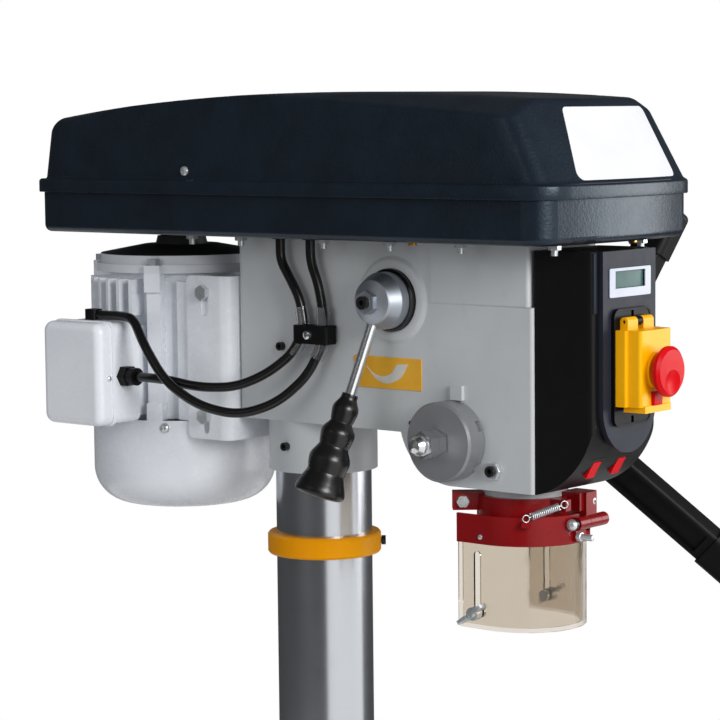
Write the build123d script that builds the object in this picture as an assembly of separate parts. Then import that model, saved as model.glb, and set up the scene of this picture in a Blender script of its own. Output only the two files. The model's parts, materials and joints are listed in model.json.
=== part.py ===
from build123d import *
import os
from math import acos, atan2, cos, degrees, hypot, pi, radians, sin, sqrt, tan

# Bench-height pillar drill with a stepless belt drive.
# Millimetres. +Z up, the column axis is the Z axis, the base stands on Z = 0.
# The operator stands at -Y, so the spindle, the panel and the guard are towards -Y and the motor is
# towards +Y. The speed lever is on the left side (-X) and the feed handle on the right side (+X).

# Driving dimensions of the stand
COLUMN_R = 46.0
COLUMN_WALL = 7.0
THROAT = 240.0
BASE_WIDTH = 370.0
BASE_FRONT = -420.0
BASE_BACK = 130.0
BASE_H = 62.0
BASE_WALL = 16.0
BASE_HOLE_X = 155.0
BASE_HOLE_FRONT = -385.0
BASE_HOLE_BACK = 95.0
BASE_HOLE_R = 7.0
FOOT_FLANGE_R = 95.0
FOOT_HUB_R = 62.0
FOOT_TOP = 150.0
FOOT_BOLT_RING_R = 80.0
RING_BOTTOM = 666.0
RING_TOP = 686.0

# Driving dimensions of the head
HEAD_HALF = 52.0
HEAD_TOP = 973.0
HEAD_REAR = 62.0
HEAD_FRONT = -286.0
HEAD_BELLY = 797.0
NOSE_BOTTOM = 752.0
COLLAR_BOTTOM = 748.0
BOSS_R = 38.3
BOSS_BOTTOM = 724.0
PARTING_Z = 916.0
PARTING_STEP = 4.0
QUILL_R = 28.0
QUILL_BOTTOM = 718.0
QUILL_TOP = 914.0
NOSE_R = 21.0
SPINDLE_BOTTOM = 705.0
TAPER_MOUTH_R = 8.89
TAPER_DEPTH = 64.0
TAPER_RATE = 1 / 40.04

# Feed pinion and quill rack
FEED_MODULE = 2.0
FEED_TEETH = 16
FEED_PITCH_R = FEED_MODULE * FEED_TEETH / 2
RACK_PITCH_LINE = 26.0
FEED_Y = -THROAT + RACK_PITCH_LINE + FEED_PITCH_R
FEED_Z = 794.0
STROKE = 100.0
BACKLASH = 0.35
PRESSURE_ANGLE = radians(20)

# Speed lever and its shift rack
LEVER_Y = -130.0
LEVER_Z = 917.0
SHIFT_MODULE = 1.25
SHIFT_TEETH = 16
SHIFT_PITCH_R = SHIFT_MODULE * SHIFT_TEETH / 2

# Belt cover: plan of the lip, tray and lid levels
LIP_HALF = 120.0
LIP_REAR = 269.0
LIP_FRONT = -345.0
LIP_BOW = 14.0
LIP_BOTTOM = 1012.0
LIP_TOP = 1025.0
WALL_INSET = 5.0
SHEET = 2.5
LID_HALF = 114.0
LID_REAR = 263.0
LID_NOSE = -353.0
LID_TOP = 1105.0
LID_SIDE_LEAN = 6.0 / 80.0
LID_REAR_LEAN = 8.0 / 80.0
LID_FRONT_TILT = 30.0
LID_FRONT_R = 545.0
HINGE_X = 124.5
HINGE_Z = 1008.0
HINGE_PLACES = (150.0, -220.0)

# Belt drive
MOTOR_Y = 184.0
BELT_Z = 1018.0
BELT_THICK = 8.0
BELT_WIDTH = 22.0
GROOVE_ANGLE = radians(13)
SPINDLE_BELT_R = 62.0
MOTOR_BELT_R = 34.0
SLEEVE_R = 17.0
SPLINE_R = 10.0
SHAFT_R = 11.0

# Motor
MOTOR_R = 80.0
BARREL_R = 72.0
RIB_R = 91.0
MOTOR_BOTTOM = 790.0
MOTOR_TOP = 933.0
COWL_BOTTOM = 701.0
CAP_TOP = 958.0
EAR_TOP = 941.0
LUG_ANGLES = (25, 115, 205, 295)
BOX_Y0 = 150.0
BOX_Y1 = 227.0
BOX_Z0 = 791.0
BOX_Z1 = 888.0
BOX_FACE = -131.0
BOX_BACK = -97.0
PLATE_HALF = 66.0
PLATE_REAR = 115.0
PLATE_THICK = 3.0
PLATE_BOTTOM = 774.5
PLATE_BOLT_Y = 92.0
PLATE_BOLT_Z = (916.0, 797.0)

# Front panel
HOUSING_HALF = 49.0
HOUSING_FRONT = -347.4
HOUSING_TOP = 966.0
BEND_TOP = 814.0
BEND_MIDDLE = (-326.5, 774.5)
BEND_BACK = -288.0
FASCIA_HALF = 40.5
FASCIA_THICK = 5.0
SWITCH_Z = 865.0
BUTTON_Z = 862.5
SWITCH_HINGE_Y = -360.0
SWITCH_HINGE_Z = 905.0
ROCKER_X = (-19.0, 19.0)

# Drill guard
GUARD_R = 58.0
GUARD_REAR = -206.0
GUARD_HINGE_Y = -301.0
GUARD_HINGE_Z = 722.0
SHIELD_BOTTOM = 626.5
SHIELD_TRAVEL = 52.0
WING_Y = -226.0
WING_Z = 641.0

# Work table
TABLE_HALF_X = 175.0
TABLE_FRONT = -405.0
TABLE_REAR = -75.0
TABLE_TOP = 345.0
TABLE_THICK = 22.0
TILT_Z = 268.0
TILT_FACE = -130.0
RACK_TURN = -30.0
BRACKET_BOTTOM = 215.0
BRACKET_TOP = 318.0

# Cables
CABLE_R = 4.5
CLAMP_Z = 882.0

# General clearances
FIT = 0.05
GAP = 0.3

SPINDLE = (0.0, -THROAT)
MOTOR = (0.0, MOTOR_Y)


# Small builders shared by the parts


def block(x0, x1, y0, y1, z0, z1):
    """Box between two corners."""
    return Pos((x0 + x1) / 2, (y0 + y1) / 2, (z0 + z1) / 2) * Box(x1 - x0, y1 - y0, z1 - z0)


def rod_z(radius, z0, z1, at=(0.0, 0.0)):
    """Upright cylinder."""
    return Pos(at[0], at[1], (z0 + z1) / 2) * Cylinder(radius, z1 - z0)


def rod_x(radius, x0, x1, y, z):
    """Cylinder along X."""
    return Pos((x0 + x1) / 2, y, z) * Rot(0, 90, 0) * Cylinder(radius, x1 - x0)


def rod_y(radius, y0, y1, x, z):
    """Cylinder along Y."""
    return Pos(x, (y0 + y1) / 2, z) * Rot(90, 0, 0) * Cylinder(radius, y1 - y0)


def tube_z(outer, inner, z0, z1, at=(0.0, 0.0)):
    """Upright pipe."""
    return rod_z(outer, z0, z1, at) - rod_z(inner, z0 - 1, z1 + 1, at)


def hex_z(flats, z0, z1, at=(0.0, 0.0)):
    """Upright hexagon, sized across its flats."""
    sketch = RegularPolygon(flats / sqrt(3), 6)
    return Pos(at[0], at[1], z0) * extrude(sketch, z1 - z0)


def hex_x(flats, x0, x1, y, z):
    """Hexagon along X."""
    return Pos(x0, y, z) * Rot(0, 90, 0) * hex_z(flats, 0, x1 - x0)


def hex_y(flats, y0, y1, x, z):
    """Hexagon along Y."""
    return Pos(x, y1, z) * Rot(90, 0, 0) * hex_z(flats, 0, y1 - y0)


def turned(points, at=(0.0, 0.0)):
    """Solid of revolution about an upright axis, from (radius, height) points."""
    outline = Plane.XZ * make_face(Polyline(*points, close=True))
    return Pos(at[0], at[1], 0) * revolve(outline, Axis.Z)


def turned_x(points, y, z):
    """Solid of revolution about an axis along X, from (radius, X) points."""
    return Pos(0, y, z) * Rot(0, 90, 0) * turned(points)


def turned_y(points, x, z):
    """Solid of revolution about an axis along Y, from (radius, -Y) points."""
    return Pos(x, 0, z) * Rot(90, 0, 0) * turned(points)


def side_plate(points, x0, x1):
    """Plate parallel to the side of the machine, from (Y, Z) points."""
    outline = Plane.YZ * make_face(Polyline(*points, close=True))
    return Pos(x0, 0, 0) * extrude(outline, x1 - x0)


def joined(solids):
    """Separate solids kept as one group."""
    return Compound([solid for shape in solids for solid in shape.solids()])


def upright_edges(shape, test):
    """Edges along Z whose middle passes a test."""
    return [e for e in shape.edges().filter_by(Axis.Z) if test(e.center())]


# Teeth


def involute_half_angle(radius, pitch_r, thickness):
    """Half angle of an involute tooth at a radius."""
    base_r = pitch_r * cos(PRESSURE_ANGLE)
    roll = acos(min(1.0, base_r / radius))
    pitch_part = tan(PRESSURE_ANGLE) - PRESSURE_ANGLE
    return thickness / (2 * pitch_r) + pitch_part - (tan(roll) - roll)


def pinion(module, teeth, length):
    """Spur pinion along Z with one tooth centred on +X."""
    pitch_r = module * teeth / 2
    base_r = pitch_r * cos(PRESSURE_ANGLE)
    root_r = pitch_r - 1.25 * module
    thickness = pi * module / 2 - BACKLASH
    radii = [base_r, pitch_r, pitch_r + module / 2, pitch_r + module]
    flank = [(r, involute_half_angle(r, pitch_r, thickness)) for r in radii]
    flank.insert(0, (root_r, flank[0][1]))
    points = []
    for tooth in range(teeth):
        centre = 2 * pi * tooth / teeth
        rising = [(r, centre - a) for r, a in flank]
        falling = [(r, centre + a) for r, a in reversed(flank)]
        points += [(r * cos(a), r * sin(a)) for r, a in rising + falling]
    return extrude(make_face(Polyline(*points, close=True)), length)


def rack_gap(module, half_width):
    """Cutter for one rack gap: opens towards +Y, pitch line on Y = 0, along X."""
    half_gap = (pi * module - (pi * module / 2 - BACKLASH)) / 2
    slope = tan(PRESSURE_ANGLE)
    deep, high = 1.25 * module, 3.0 * module
    points = [(-deep, half_gap - deep * slope), (high, half_gap + high * slope),
              (high, -half_gap - high * slope), (-deep, -half_gap + deep * slope)]
    return side_plate(points, -half_width, half_width)


# Stand


def base():
    half = BASE_WIDTH / 2
    top_plate = 16.0
    corner_r, rim_r = 30.0, 6.0
    body = block(-half, half, BASE_FRONT, BASE_BACK, 0, BASE_H)
    body = fillet(body.edges().filter_by(Axis.Z), corner_r)
    body = chamfer(body.faces().sort_by(Axis.Z)[-1].edges(), rim_r)
    rib_y = -105.0
    for y0, y1 in ((BASE_FRONT + BASE_WALL, rib_y), (rib_y + BASE_WALL, BASE_BACK - BASE_WALL)):
        body -= block(-half + BASE_WALL, half - BASE_WALL, y0, y1, -1, BASE_H - top_plate)
    body += rod_z(FOOT_HUB_R, 0, BASE_H - top_plate)
    for x in (-BASE_HOLE_X, BASE_HOLE_X):
        for y in (BASE_HOLE_FRONT, BASE_HOLE_BACK):
            body += rod_z(20.0, 0, BASE_H - rim_r, (x, y))
            body -= rod_z(BASE_HOLE_R, -1, BASE_H + 1, (x, y))
    for x, y in foot_bolt_places():
        body += rod_z(14.0, BASE_H - 34, BASE_H - top_plate, (x, y))
        body -= rod_z(6.0 + FIT, BASE_H - 30, BASE_H + 1, (x, y))
    slot_half, slot_x = 7.0, 80.0
    for x in (-slot_x, slot_x):
        body -= block(x - slot_half, x + slot_half, -375, -150, -1, BASE_H + 1)
    return body


def foot_bolt_places():
    """Four places on the foot's bolt circle."""
    turns = [radians(a) for a in (45, 135, 225, 315)]
    return [(FOOT_BOLT_RING_R * cos(a), FOOT_BOLT_RING_R * sin(a)) for a in turns]


def column_foot():
    flange_top, root_top = BASE_H + 18, BASE_H + 34
    foot = turned([(COLUMN_R + FIT, BASE_H), (FOOT_FLANGE_R, BASE_H), (FOOT_FLANGE_R, flange_top - 4),
                   (FOOT_FLANGE_R - 4, flange_top), (FOOT_HUB_R + 4, flange_top), (FOOT_HUB_R, root_top),
                   (FOOT_HUB_R - 2, FOOT_TOP - 3), (FOOT_HUB_R - 5, FOOT_TOP), (COLUMN_R + FIT, FOOT_TOP)])
    for place in foot_bolt_places():
        foot -= rod_z(6.5, BASE_H - 1, flange_top + 1, place)
    return foot


def column():
    return tube_z(COLUMN_R, COLUMN_R - COLUMN_WALL, BASE_H, 945)


def rack_ring():
    ring = turned([(COLUMN_R + FIT, RING_BOTTOM), (53, RING_BOTTOM), (54.5, RING_BOTTOM + 2),
                   (54.5, RING_TOP - 2), (53, RING_TOP), (COLUMN_R + FIT, RING_TOP)])
    return ring - ring_screw(COLUMN_R, 60, 3.0)


def ring_screw(r0, r1, radius):
    """Screw through the ring, on its right front side."""
    level = (RING_BOTTOM + RING_TOP) / 2
    return Rot(0, 0, -50) * rod_x(radius, r0, r1, 0, level)


# Work table


def table_rack():
    """Upright rack behind the column, turned with the bracket about it."""
    y0, y1, half = COLUMN_R + GAP, 57.0, 9.0
    bar = block(-half, half, y0, y1, FOOT_TOP + 0.5, RING_BOTTOM - 0.5)
    pitch = pi * FEED_MODULE
    level = FOOT_TOP + 12
    cutter = rack_gap(FEED_MODULE, half + 1)
    gaps = []
    while level < RING_BOTTOM - 12:
        gaps.append(Pos(0, y1 - FEED_MODULE, level) * cutter)
        level += pitch
    return Rot(0, 0, RACK_TURN) * (bar - gaps)


def lift_pinion_level():
    """Height where a rack gap faces the lift pinion's tooth."""
    start, pitch = FOOT_TOP + 12, pi * FEED_MODULE
    return start + pitch * round((TILT_Z - start) / pitch)


LIFT_Z = lift_pinion_level()
LIFT_Y = 57.0 - FEED_MODULE + FEED_PITCH_R


def table_bracket():
    sleeve_r = 64.0
    body = rod_z(sleeve_r, BRACKET_BOTTOM, BRACKET_TOP)
    body = chamfer(body.edges().filter_by(GeomType.CIRCLE), 3)
    arm_half, arm_low, arm_high = 36.0, TILT_Z - 36, TILT_Z + 34
    body += block(-arm_half, arm_half, TILT_FACE + 10, 0, arm_low, arm_high)
    body += rod_y(48, TILT_FACE, TILT_FACE + 12, 0, TILT_Z)
    ear_half, ear_out = 15.0, -96.0
    body += block(ear_out, -55, -ear_half, ear_half, TILT_Z - 28, TILT_Z + 28)
    gear_box = block(-22, 22, 50, LIFT_Y + 26, LIFT_Z - 27, LIFT_Z + 27)
    body += Rot(0, 0, RACK_TURN) * fillet(gear_box.edges().filter_by(Axis.X), 8)
    body -= rod_z(COLUMN_R + 0.08, BRACKET_BOTTOM - 1, BRACKET_TOP + 1)
    channel = block(-9.4, 9.4, 40, 57.5, BRACKET_BOTTOM - 1, BRACKET_TOP + 1)
    pocket = rod_x(FEED_PITCH_R + FEED_MODULE + 0.6, -14, 23, LIFT_Y, LIFT_Z)
    bearing = rod_x(8 + FIT, -23, 0, LIFT_Y, LIFT_Z)
    body -= Rot(0, 0, RACK_TURN) * (channel + pocket + bearing)
    body -= block(ear_out - 1, -40, -2, 2, BRACKET_BOTTOM - 1, BRACKET_TOP + 1)
    body -= rod_y(6 + FIT, -ear_half - 1, ear_half + 1, -80, TILT_Z)
    body -= rod_y(14 + FIT, TILT_FACE - 1, TILT_FACE + 32, 0, TILT_Z)
    return body


def table_inset(inset, z0):
    """Box over the table's plan, set in from its edges, from a height up."""
    half = TABLE_HALF_X - inset
    return block(-half, half, TABLE_FRONT + inset, TABLE_REAR - inset, z0, TABLE_TOP + 1)


def table():
    under = TABLE_TOP - TABLE_THICK
    plate = block(-TABLE_HALF_X, TABLE_HALF_X, TABLE_FRONT, TABLE_REAR, under, TABLE_TOP)
    plate = fillet(plate.edges().filter_by(Axis.Z), 24)
    plate = chamfer(plate.faces().sort_by(Axis.Z)[-1].edges(), 2)
    drain_depth = 4.0
    plate -= table_inset(12, TABLE_TOP - drain_depth) - table_inset(22, under)
    face = TILT_FACE - GAP
    plate += rod_y(48, face - 14, face, 0, TILT_Z)
    plate += block(-40, 40, face - 44, face - 10, TILT_Z - 10, under + 1)
    plate += block(-12, 12, TABLE_FRONT + 60, face - 40, under - 26, under + 1)
    plate += rod_z(34, under - 26, under + 1, SPINDLE)
    plate += rod_y(14, face - 2, face + 30, 0, TILT_Z)
    plate -= rod_z(15, TILT_Z, TABLE_TOP + 1, SPINDLE)
    for x in (-90, 90):
        plate -= block(x - 7, x + 7, TABLE_FRONT + 55, TABLE_REAR - 75, under - 1, TABLE_TOP + 1)
    return plate


def table_crank():
    """Lift pinion, shaft, arm and knob, in the rack's turned frame."""
    arm_x, arm_length = 84.0, 72.0
    gear = Pos(-10, LIFT_Y, LIFT_Z) * Rot(0, 90, 0) * Rot(0, 0, 90) * pinion(FEED_MODULE, FEED_TEETH, 18)
    crank = gear + rod_x(8, -22, -9, LIFT_Y, LIFT_Z) + rod_x(8, 7, arm_x, LIFT_Y, LIFT_Z)
    crank += rod_x(14, arm_x - 12, arm_x + 6, LIFT_Y, LIFT_Z)
    crank += block(arm_x - 8, arm_x + 2, LIFT_Y - 9, LIFT_Y + 9, LIFT_Z - arm_length, LIFT_Z)
    crank += rod_x(10, arm_x - 8, arm_x + 2, LIFT_Y, LIFT_Z - arm_length)
    knob = turned_x([(0, arm_x + 2), (7, arm_x + 2), (11, arm_x + 12), (12, arm_x + 36), (9, arm_x + 48),
                     (0, arm_x + 50)], LIFT_Y, LIFT_Z - arm_length)
    return Rot(0, 0, RACK_TURN) * (crank + knob)


def table_lock_lever():
    """Clamp screw across the bracket's split, with its bent handle."""
    screw_x, ear = -80.0, 15.4
    lever = turned_y([(0, -24), (11, -24), (11, -ear), (6, -ear), (6, ear), (13, ear), (13, 37), (0, 37)],
                     screw_x, TILT_Z)
    place = Pos(screw_x, -27, TILT_Z) * Rot(20, -35, 0)
    lever += place * rod_z(5, 8, 84)
    return lever + place * Pos(0, 0, 88) * Sphere(11)


# Head


def head_profile():
    """Side view of the head casting."""
    front_edge = Polyline((HEAD_FRONT, NOSE_BOTTOM), (HEAD_FRONT, HEAD_TOP), (HEAD_REAR, HEAD_TOP),
                          (HEAD_REAR, HEAD_BELLY), (-138, HEAD_BELLY))
    belly = ThreePointArc((-138, HEAD_BELLY), (-158, 766), (-200, NOSE_BOTTOM))
    nose = Line((-200, NOSE_BOTTOM), (HEAD_FRONT, NOSE_BOTTOM))
    return make_face(front_edge.edges() + belly.edges() + nose.edges())


def head_casting():
    body = Pos(-HEAD_HALF, 0, 0) * extrude(Plane.YZ * head_profile(), 2 * HEAD_HALF)
    body -= block(-60, 60, HEAD_FRONT - 1, HEAD_FRONT + PARTING_STEP, PARTING_Z, HEAD_TOP + 1)
    body = fillet(upright_edges(body, lambda c: c.Y < HEAD_FRONT + 5), 3)
    body = fillet(upright_edges(body, lambda c: c.Y > HEAD_REAR - 1), 8)
    body += rod_z(HEAD_HALF, COLLAR_BOTTOM, HEAD_BELLY + 1)
    body += rod_z(BOSS_R, BOSS_BOTTOM, NOSE_BOTTOM + 1, SPINDLE)
    body += block(-HEAD_HALF - 4, 0, FEED_Y - 13, FEED_Y, FEED_Z + 36.5, FEED_Z + 49.5)
    body -= rod_z(COLUMN_R + FIT, COLLAR_BOTTOM - 1, 950)
    body -= rod_z(QUILL_R + FIT, BOSS_BOTTOM - 1, 926, SPINDLE)
    body -= rod_z(30 + FIT, 925, HEAD_TOP + 1, SPINDLE)
    body -= block(-40, 40, LEVER_Y - 30, -66, 812, HEAD_TOP + 1)
    body -= rod_x(18 + FIT, -17, HEAD_HALF + 1, FEED_Y, FEED_Z)
    body -= rod_x(10 + FIT, -HEAD_HALF - 3, 0, FEED_Y, FEED_Z)
    body -= rod_x(8 + FIT, -HEAD_HALF - 3, 46, LEVER_Y, LEVER_Z)
    for x, y, z, radius, length in head_screw_places():
        body -= rod_x(radius + FIT, x, x + length + 0.5, y, z)
    return body


def head_screw_places():
    """Left ends (X, Y, Z), radii and lengths of the set screws in the head's left side."""
    return [(-HEAD_HALF - 5, 5.0, 868.0, 4.0, 10.0), (-HEAD_HALF - 5, 1.0, 773.0, 4.0, 10.0),
            (-HEAD_HALF - 3, -152.0, 806.0, 2.5, 14.0), (-HEAD_HALF - 8, -244.0, 770.0, 5.0, 31.0)]


def cap_screws():
    """Black socket screws: head set screws, ring screw and the guard's pivot screw."""
    screws = []
    for x, y, z, radius, length in head_screw_places():
        screws.append(rod_x(radius, x, x + length, y, z) - rod_x(radius / 2, x - 1, x + radius, y, z))
    screws.append(ring_screw(COLUMN_R + 0.5, 59, 3.0 - FIT) + ring_screw(54.8, 59, 4.5))
    pivot = rod_x(3, -11, 39, GUARD_HINGE_Y, GUARD_HINGE_Z)
    screws.append(pivot + rod_x(5, -14, -10, GUARD_HINGE_Y, GUARD_HINGE_Z))
    return joined(screws)


def lug_places():
    """Centres of the motor's tie screws."""
    reach = 85.0
    return [(reach * cos(radians(a)), MOTOR_Y + reach * sin(radians(a))) for a in LUG_ANGLES]


def tray_bolt_places():
    """Bolts through the tray floor, both sides of the head."""
    rows = (95, 32, -70, -148, -228)
    return [(x, y) for x in (-78, 78) for y in rows] + [(-66, -320), (66, -320)]


def hex_bolts():
    """Zinc hexagon bolts: column foot, tray floor, motor plate and motor end shield."""
    bolts = []
    for place in foot_bolt_places():
        bolts.append(hex_z(19, BASE_H + 18, BASE_H + 26, place) + rod_z(6, BASE_H - 28, BASE_H + 19, place))
    for place in tray_bolt_places():
        shank = rod_z(3, HEAD_TOP - 10, HEAD_TOP + 6, place)
        nut = hex_z(10, HEAD_TOP + 3, HEAD_TOP + 7, place)
        bolts.append(hex_z(10, HEAD_TOP - 5, HEAD_TOP, place) + shank + nut)
    for side in (-1, 1):
        for z in PLATE_BOLT_Z:
            head = sorted((side * PLATE_HALF, side * (PLATE_HALF + 6)))
            reach = sorted((side * (PLATE_HALF - PLATE_THICK - 7), side * (PLATE_HALF + 1)))
            bolts.append(hex_x(13, *head, PLATE_BOLT_Y, z) + rod_x(4, *reach, PLATE_BOLT_Y, z))
    for place in lug_places():
        bolts.append(hex_z(11, EAR_TOP, EAR_TOP + 6, place) + rod_z(4, MOTOR_TOP - 3, EAR_TOP + 1, place))
    return joined(bolts)


# Quill, spindle and feed


def quill():
    bore, lower_seat, upper_seat = 18.0, 24.0, 20.0
    body = tube_z(QUILL_R, bore, QUILL_BOTTOM, QUILL_TOP, SPINDLE)
    body -= rod_z(lower_seat, QUILL_BOTTOM - 1, QUILL_BOTTOM + 20, SPINDLE)
    body -= rod_z(upper_seat, QUILL_TOP - 16, QUILL_TOP + 1, SPINDLE)
    cutter = rack_gap(FEED_MODULE, 11)
    pitch = pi * FEED_MODULE
    count = int((STROKE + 10) / pitch) + 1
    gaps = [Pos(0, -THROAT + RACK_PITCH_LINE, FEED_Z + k * pitch) * cutter for k in range(-1, count)]
    return body - gaps


def spindle_bearings():
    return joined([tube_z(24, 14, QUILL_BOTTOM + 3, QUILL_BOTTOM + 20, SPINDLE),
                   tube_z(20, 14, QUILL_TOP - 16, QUILL_TOP - 2, SPINDLE)])


def spindle():
    """Nose piece with the taper socket, and the splined shaft screwed on the spigot at its top."""
    top, journal_r = 1084.0, 14 - FIT
    seat, spigot_r, spigot_top = SPINDLE_BOTTOM + TAPER_DEPTH + 16, 8.0, SPINDLE_BOTTOM + TAPER_DEPTH + 31
    nose = turned([(0, SPINDLE_BOTTOM), (NOSE_R - 2, SPINDLE_BOTTOM), (NOSE_R, SPINDLE_BOTTOM + 2),
                   (NOSE_R, QUILL_BOTTOM - 1), (journal_r, QUILL_BOTTOM - 1), (journal_r, seat),
                   (spigot_r, seat), (spigot_r, spigot_top), (0, spigot_top)], SPINDLE)
    end_r = TAPER_MOUTH_R - TAPER_DEPTH * TAPER_RATE
    socket = turned([(0, SPINDLE_BOTTOM - 1), (TAPER_MOUTH_R, SPINDLE_BOTTOM - 1),
                     (end_r, SPINDLE_BOTTOM + TAPER_DEPTH), (0, SPINDLE_BOTTOM + TAPER_DEPTH)], SPINDLE)
    drift_z = SPINDLE_BOTTOM + TAPER_DEPTH
    nose -= socket + block(-3.5, 3.5, -THROAT - 30, -THROAT + 30, drift_z - 12, drift_z + 10)
    shaft = turned([(spigot_r, seat), (journal_r, seat), (journal_r, QUILL_TOP + 2),
                    (SPLINE_R, QUILL_TOP + 4), (SPLINE_R, top - 2), (SPLINE_R - 2, top), (0, top),
                    (0, spigot_top), (spigot_r, spigot_top)], SPINDLE)
    groove = block(SPLINE_R - 2, SPLINE_R + 1, -1.5, 1.5, QUILL_TOP + 20, top + 1)
    for k in range(6):
        shaft -= Pos(*SPINDLE, 0) * Rot(0, 0, 60 * k) * groove
    return joined([nose, shaft])


def feed_shaft():
    """Pinion shaft across the head, with the nut and dome nut on its left end."""
    left, right = -92.0, 146.0
    tooth_half = 10.5
    gear = pinion(FEED_MODULE, FEED_TEETH, 2 * tooth_half)
    body = Pos(-tooth_half, FEED_Y, FEED_Z) * Rot(0, 90, 0) * Rot(0, 0, -90) * gear
    body += rod_x(10, left, -tooth_half + 1, FEED_Y, FEED_Z) + rod_x(11, tooth_half - 1, 17, FEED_Y, FEED_Z)
    body += rod_x(18, 16, HEAD_HALF + 1, FEED_Y, FEED_Z) + rod_x(15, HEAD_HALF, right, FEED_Y, FEED_Z)
    nut = hex_x(22, -86, -75.5, FEED_Y, FEED_Z) - rod_x(10, -90, -70, FEED_Y, FEED_Z)
    dome_hex = hex_x(22, -98, -86.3, FEED_Y, FEED_Z)
    dome = turned_x([(0, 98), (9.5, 98), (9, 103), (6, 108), (0, 110)], FEED_Y, FEED_Z)
    cap = dome_hex + mirror(dome, Plane.YZ) - rod_x(10, -92.2, -80, FEED_Y, FEED_Z)
    return joined([body, nut, cap])


def spring_cap():
    """Cup over the return spring, with two locating notches in its rim."""
    outer, face, rim = 36.0, -74.5, -HEAD_HALF - GAP
    cup = turned_x([(10.4, -face), (outer - 2, -face), (outer, -face - 2), (outer, -rim), (outer - 3, -rim),
                    (outer - 3, -face - 4), (10.4, -face - 4)], FEED_Y, FEED_Z)
    cup = mirror(cup, Plane.YZ)
    for angle in (25, -40):
        notch = block(rim - 7, rim + 1, -outer - 2, -outer + 5, -5, 5)
        cup -= Pos(0, FEED_Y, FEED_Z) * Rot(-angle, 0, 0) * notch
    return cup


def return_spring():
    """Flat spiral spring inside the cap."""
    turns, steps, inner, outer, strip = 4, 16, 13.0, 31.0, 1.2

    def spiral(shift):
        places = []
        for k in range(turns * steps + 1):
            angle = 2 * pi * k / steps
            radius = inner + (outer - inner) * k / (turns * steps) + shift
            places.append((radius * cos(angle), radius * sin(angle)))
        return places

    near, far = spiral(0), spiral(strip)
    edges = [Spline(*near), Line(near[-1], far[-1]), Spline(*far), Line(far[0], near[0])]
    band = extrude(make_face([e.edge() for e in edges]), 14)
    return Pos(-69, FEED_Y, FEED_Z) * Rot(0, 90, 0) * band


def depth_ring():
    return turned_x([(15 + FIT, 54), (40, 54), (41, 55), (41, 86), (38, 90), (15 + FIT, 90)], FEED_Y, FEED_Z)


def feed_hub():
    hub = turned_x([(15.02, 92), (29, 92), (33, 98), (33, 142), (26, 148), (24, 152), (0, 152), (0, 146.2),
                    (15.02, 146.2)], FEED_Y, FEED_Z)
    for angle in SPOKE_ANGLES:
        hub -= spoke_place(angle) * rod_z(8 + FIT, 22, 60)
    return hub


SPOKE_ANGLES = (-46, 74, -166)
SPOKE_CONE = 24.0
SPOKE_ROOT_X = 122.0
SPOKE_END = 226.0


def spoke_place(angle):
    """Place of a spoke that starts along +Z: leans outwards, then turns up from the front by an angle."""
    return Pos(SPOKE_ROOT_X, FEED_Y, FEED_Z) * Rot(90 - angle, 0, 0) * Rot(0, SPOKE_CONE, 0)


def feed_spokes():
    """Three moulded spokes with a channelled section and a wider grip."""
    root, grip = 38.0, 179.0
    stem = Pos(0, 0, root) * extrude(RectangleRounded(22, 34, 5), grip - root + 4)
    handle = Pos(0, 0, grip) * extrude(RectangleRounded(28, 40, 9), SPOKE_END - grip)
    handle = fillet(handle.faces().sort_by(Axis.Z)[-1].edges(), 6)
    spoke = stem + handle + rod_z(8, 22.5, root + 2)
    for x0, x1 in ((-12, -6.5), (6.5, 12)):
        spoke -= block(x0, x1, -11, 11, root + 8, grip - 8)
    return joined([spoke_place(angle) * spoke for angle in SPOKE_ANGLES])


# Speed lever


def speed_collar():
    ring = turned_x([(8.2, 52), (28.5, 52), (28.5, 58.5), (27, 60), (8.2, 60)], LEVER_Y, LEVER_Z)
    return ring.mirror(Plane.YZ)


def speed_hub():
    """Turned hub with a bevelled face and its clamp nut, and the shaft with the shift pinion."""
    points = [(0, 60.4), (26, 60.4), (26, 70.5), (20.5, 81.5), (19.5, 82.5), (11, 86), (0, 86)]
    profile = Polyline(*points, close=True)
    hub = revolve(Plane.XZ * make_face(profile), Axis.Z)
    hub = (Pos(0, LEVER_Y, LEVER_Z) * Rot(0, 90, 0) * hub).mirror(Plane.YZ)
    hub += hex_x(19, -92, -85.5, LEVER_Y, LEVER_Z)
    hub += rod_x(6, -97, -91, LEVER_Y, LEVER_Z)
    hub += rod_x(8, -61, 45, LEVER_Y, LEVER_Z)
    hub -= rod_x(2.5, -98, -93, LEVER_Y, LEVER_Z)
    gear = Pos(-7, LEVER_Y, LEVER_Z) * Rot(0, 90, 0) * Rot(0, 0, 90) * pinion(SHIFT_MODULE, SHIFT_TEETH, 14)
    hub += gear
    hub -= lever_place() * rod_z(5 + FIT, 10, 40)
    return hub


LEVER_OUT = 16.7
LEVER_BACK = 10.0
LEVER_ROOT_X = -70.5


def lever_place():
    """Place of the lever that starts along +Z: points down, outwards and a little back."""
    return Pos(LEVER_ROOT_X, LEVER_Y, LEVER_Z) * Rot(LEVER_BACK, 0, 0) * Rot(0, 180 + LEVER_OUT, 0)


def speed_rod():
    return lever_place() * rod_z(5, 11, 150)


def speed_grip():
    """Grip with four finger bulges and a flared end."""
    start, neck, length = 88.0, 7.5, 97.0
    bulges = ((16, 12.0), (38, 15.6), (63, 19.0))
    outline = [(neck, start), (neck + 0.6, start + 6)]
    for middle, radius in bulges:
        outline += [(radius, start + middle), (radius - 2.2, start + middle + 11)]
    outline += [(23.0, start + length - 7), (22.0, start + length - 3), (0, start + length)]
    edge = Spline(*outline)
    close = Polyline(outline[-1], (0, start), outline[0])
    body = revolve(Plane.XZ * make_face(edge.edges() + close.edges()), Axis.Z)
    return lever_place() * (body - rod_z(5 + 0.02, 0, 150))


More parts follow.
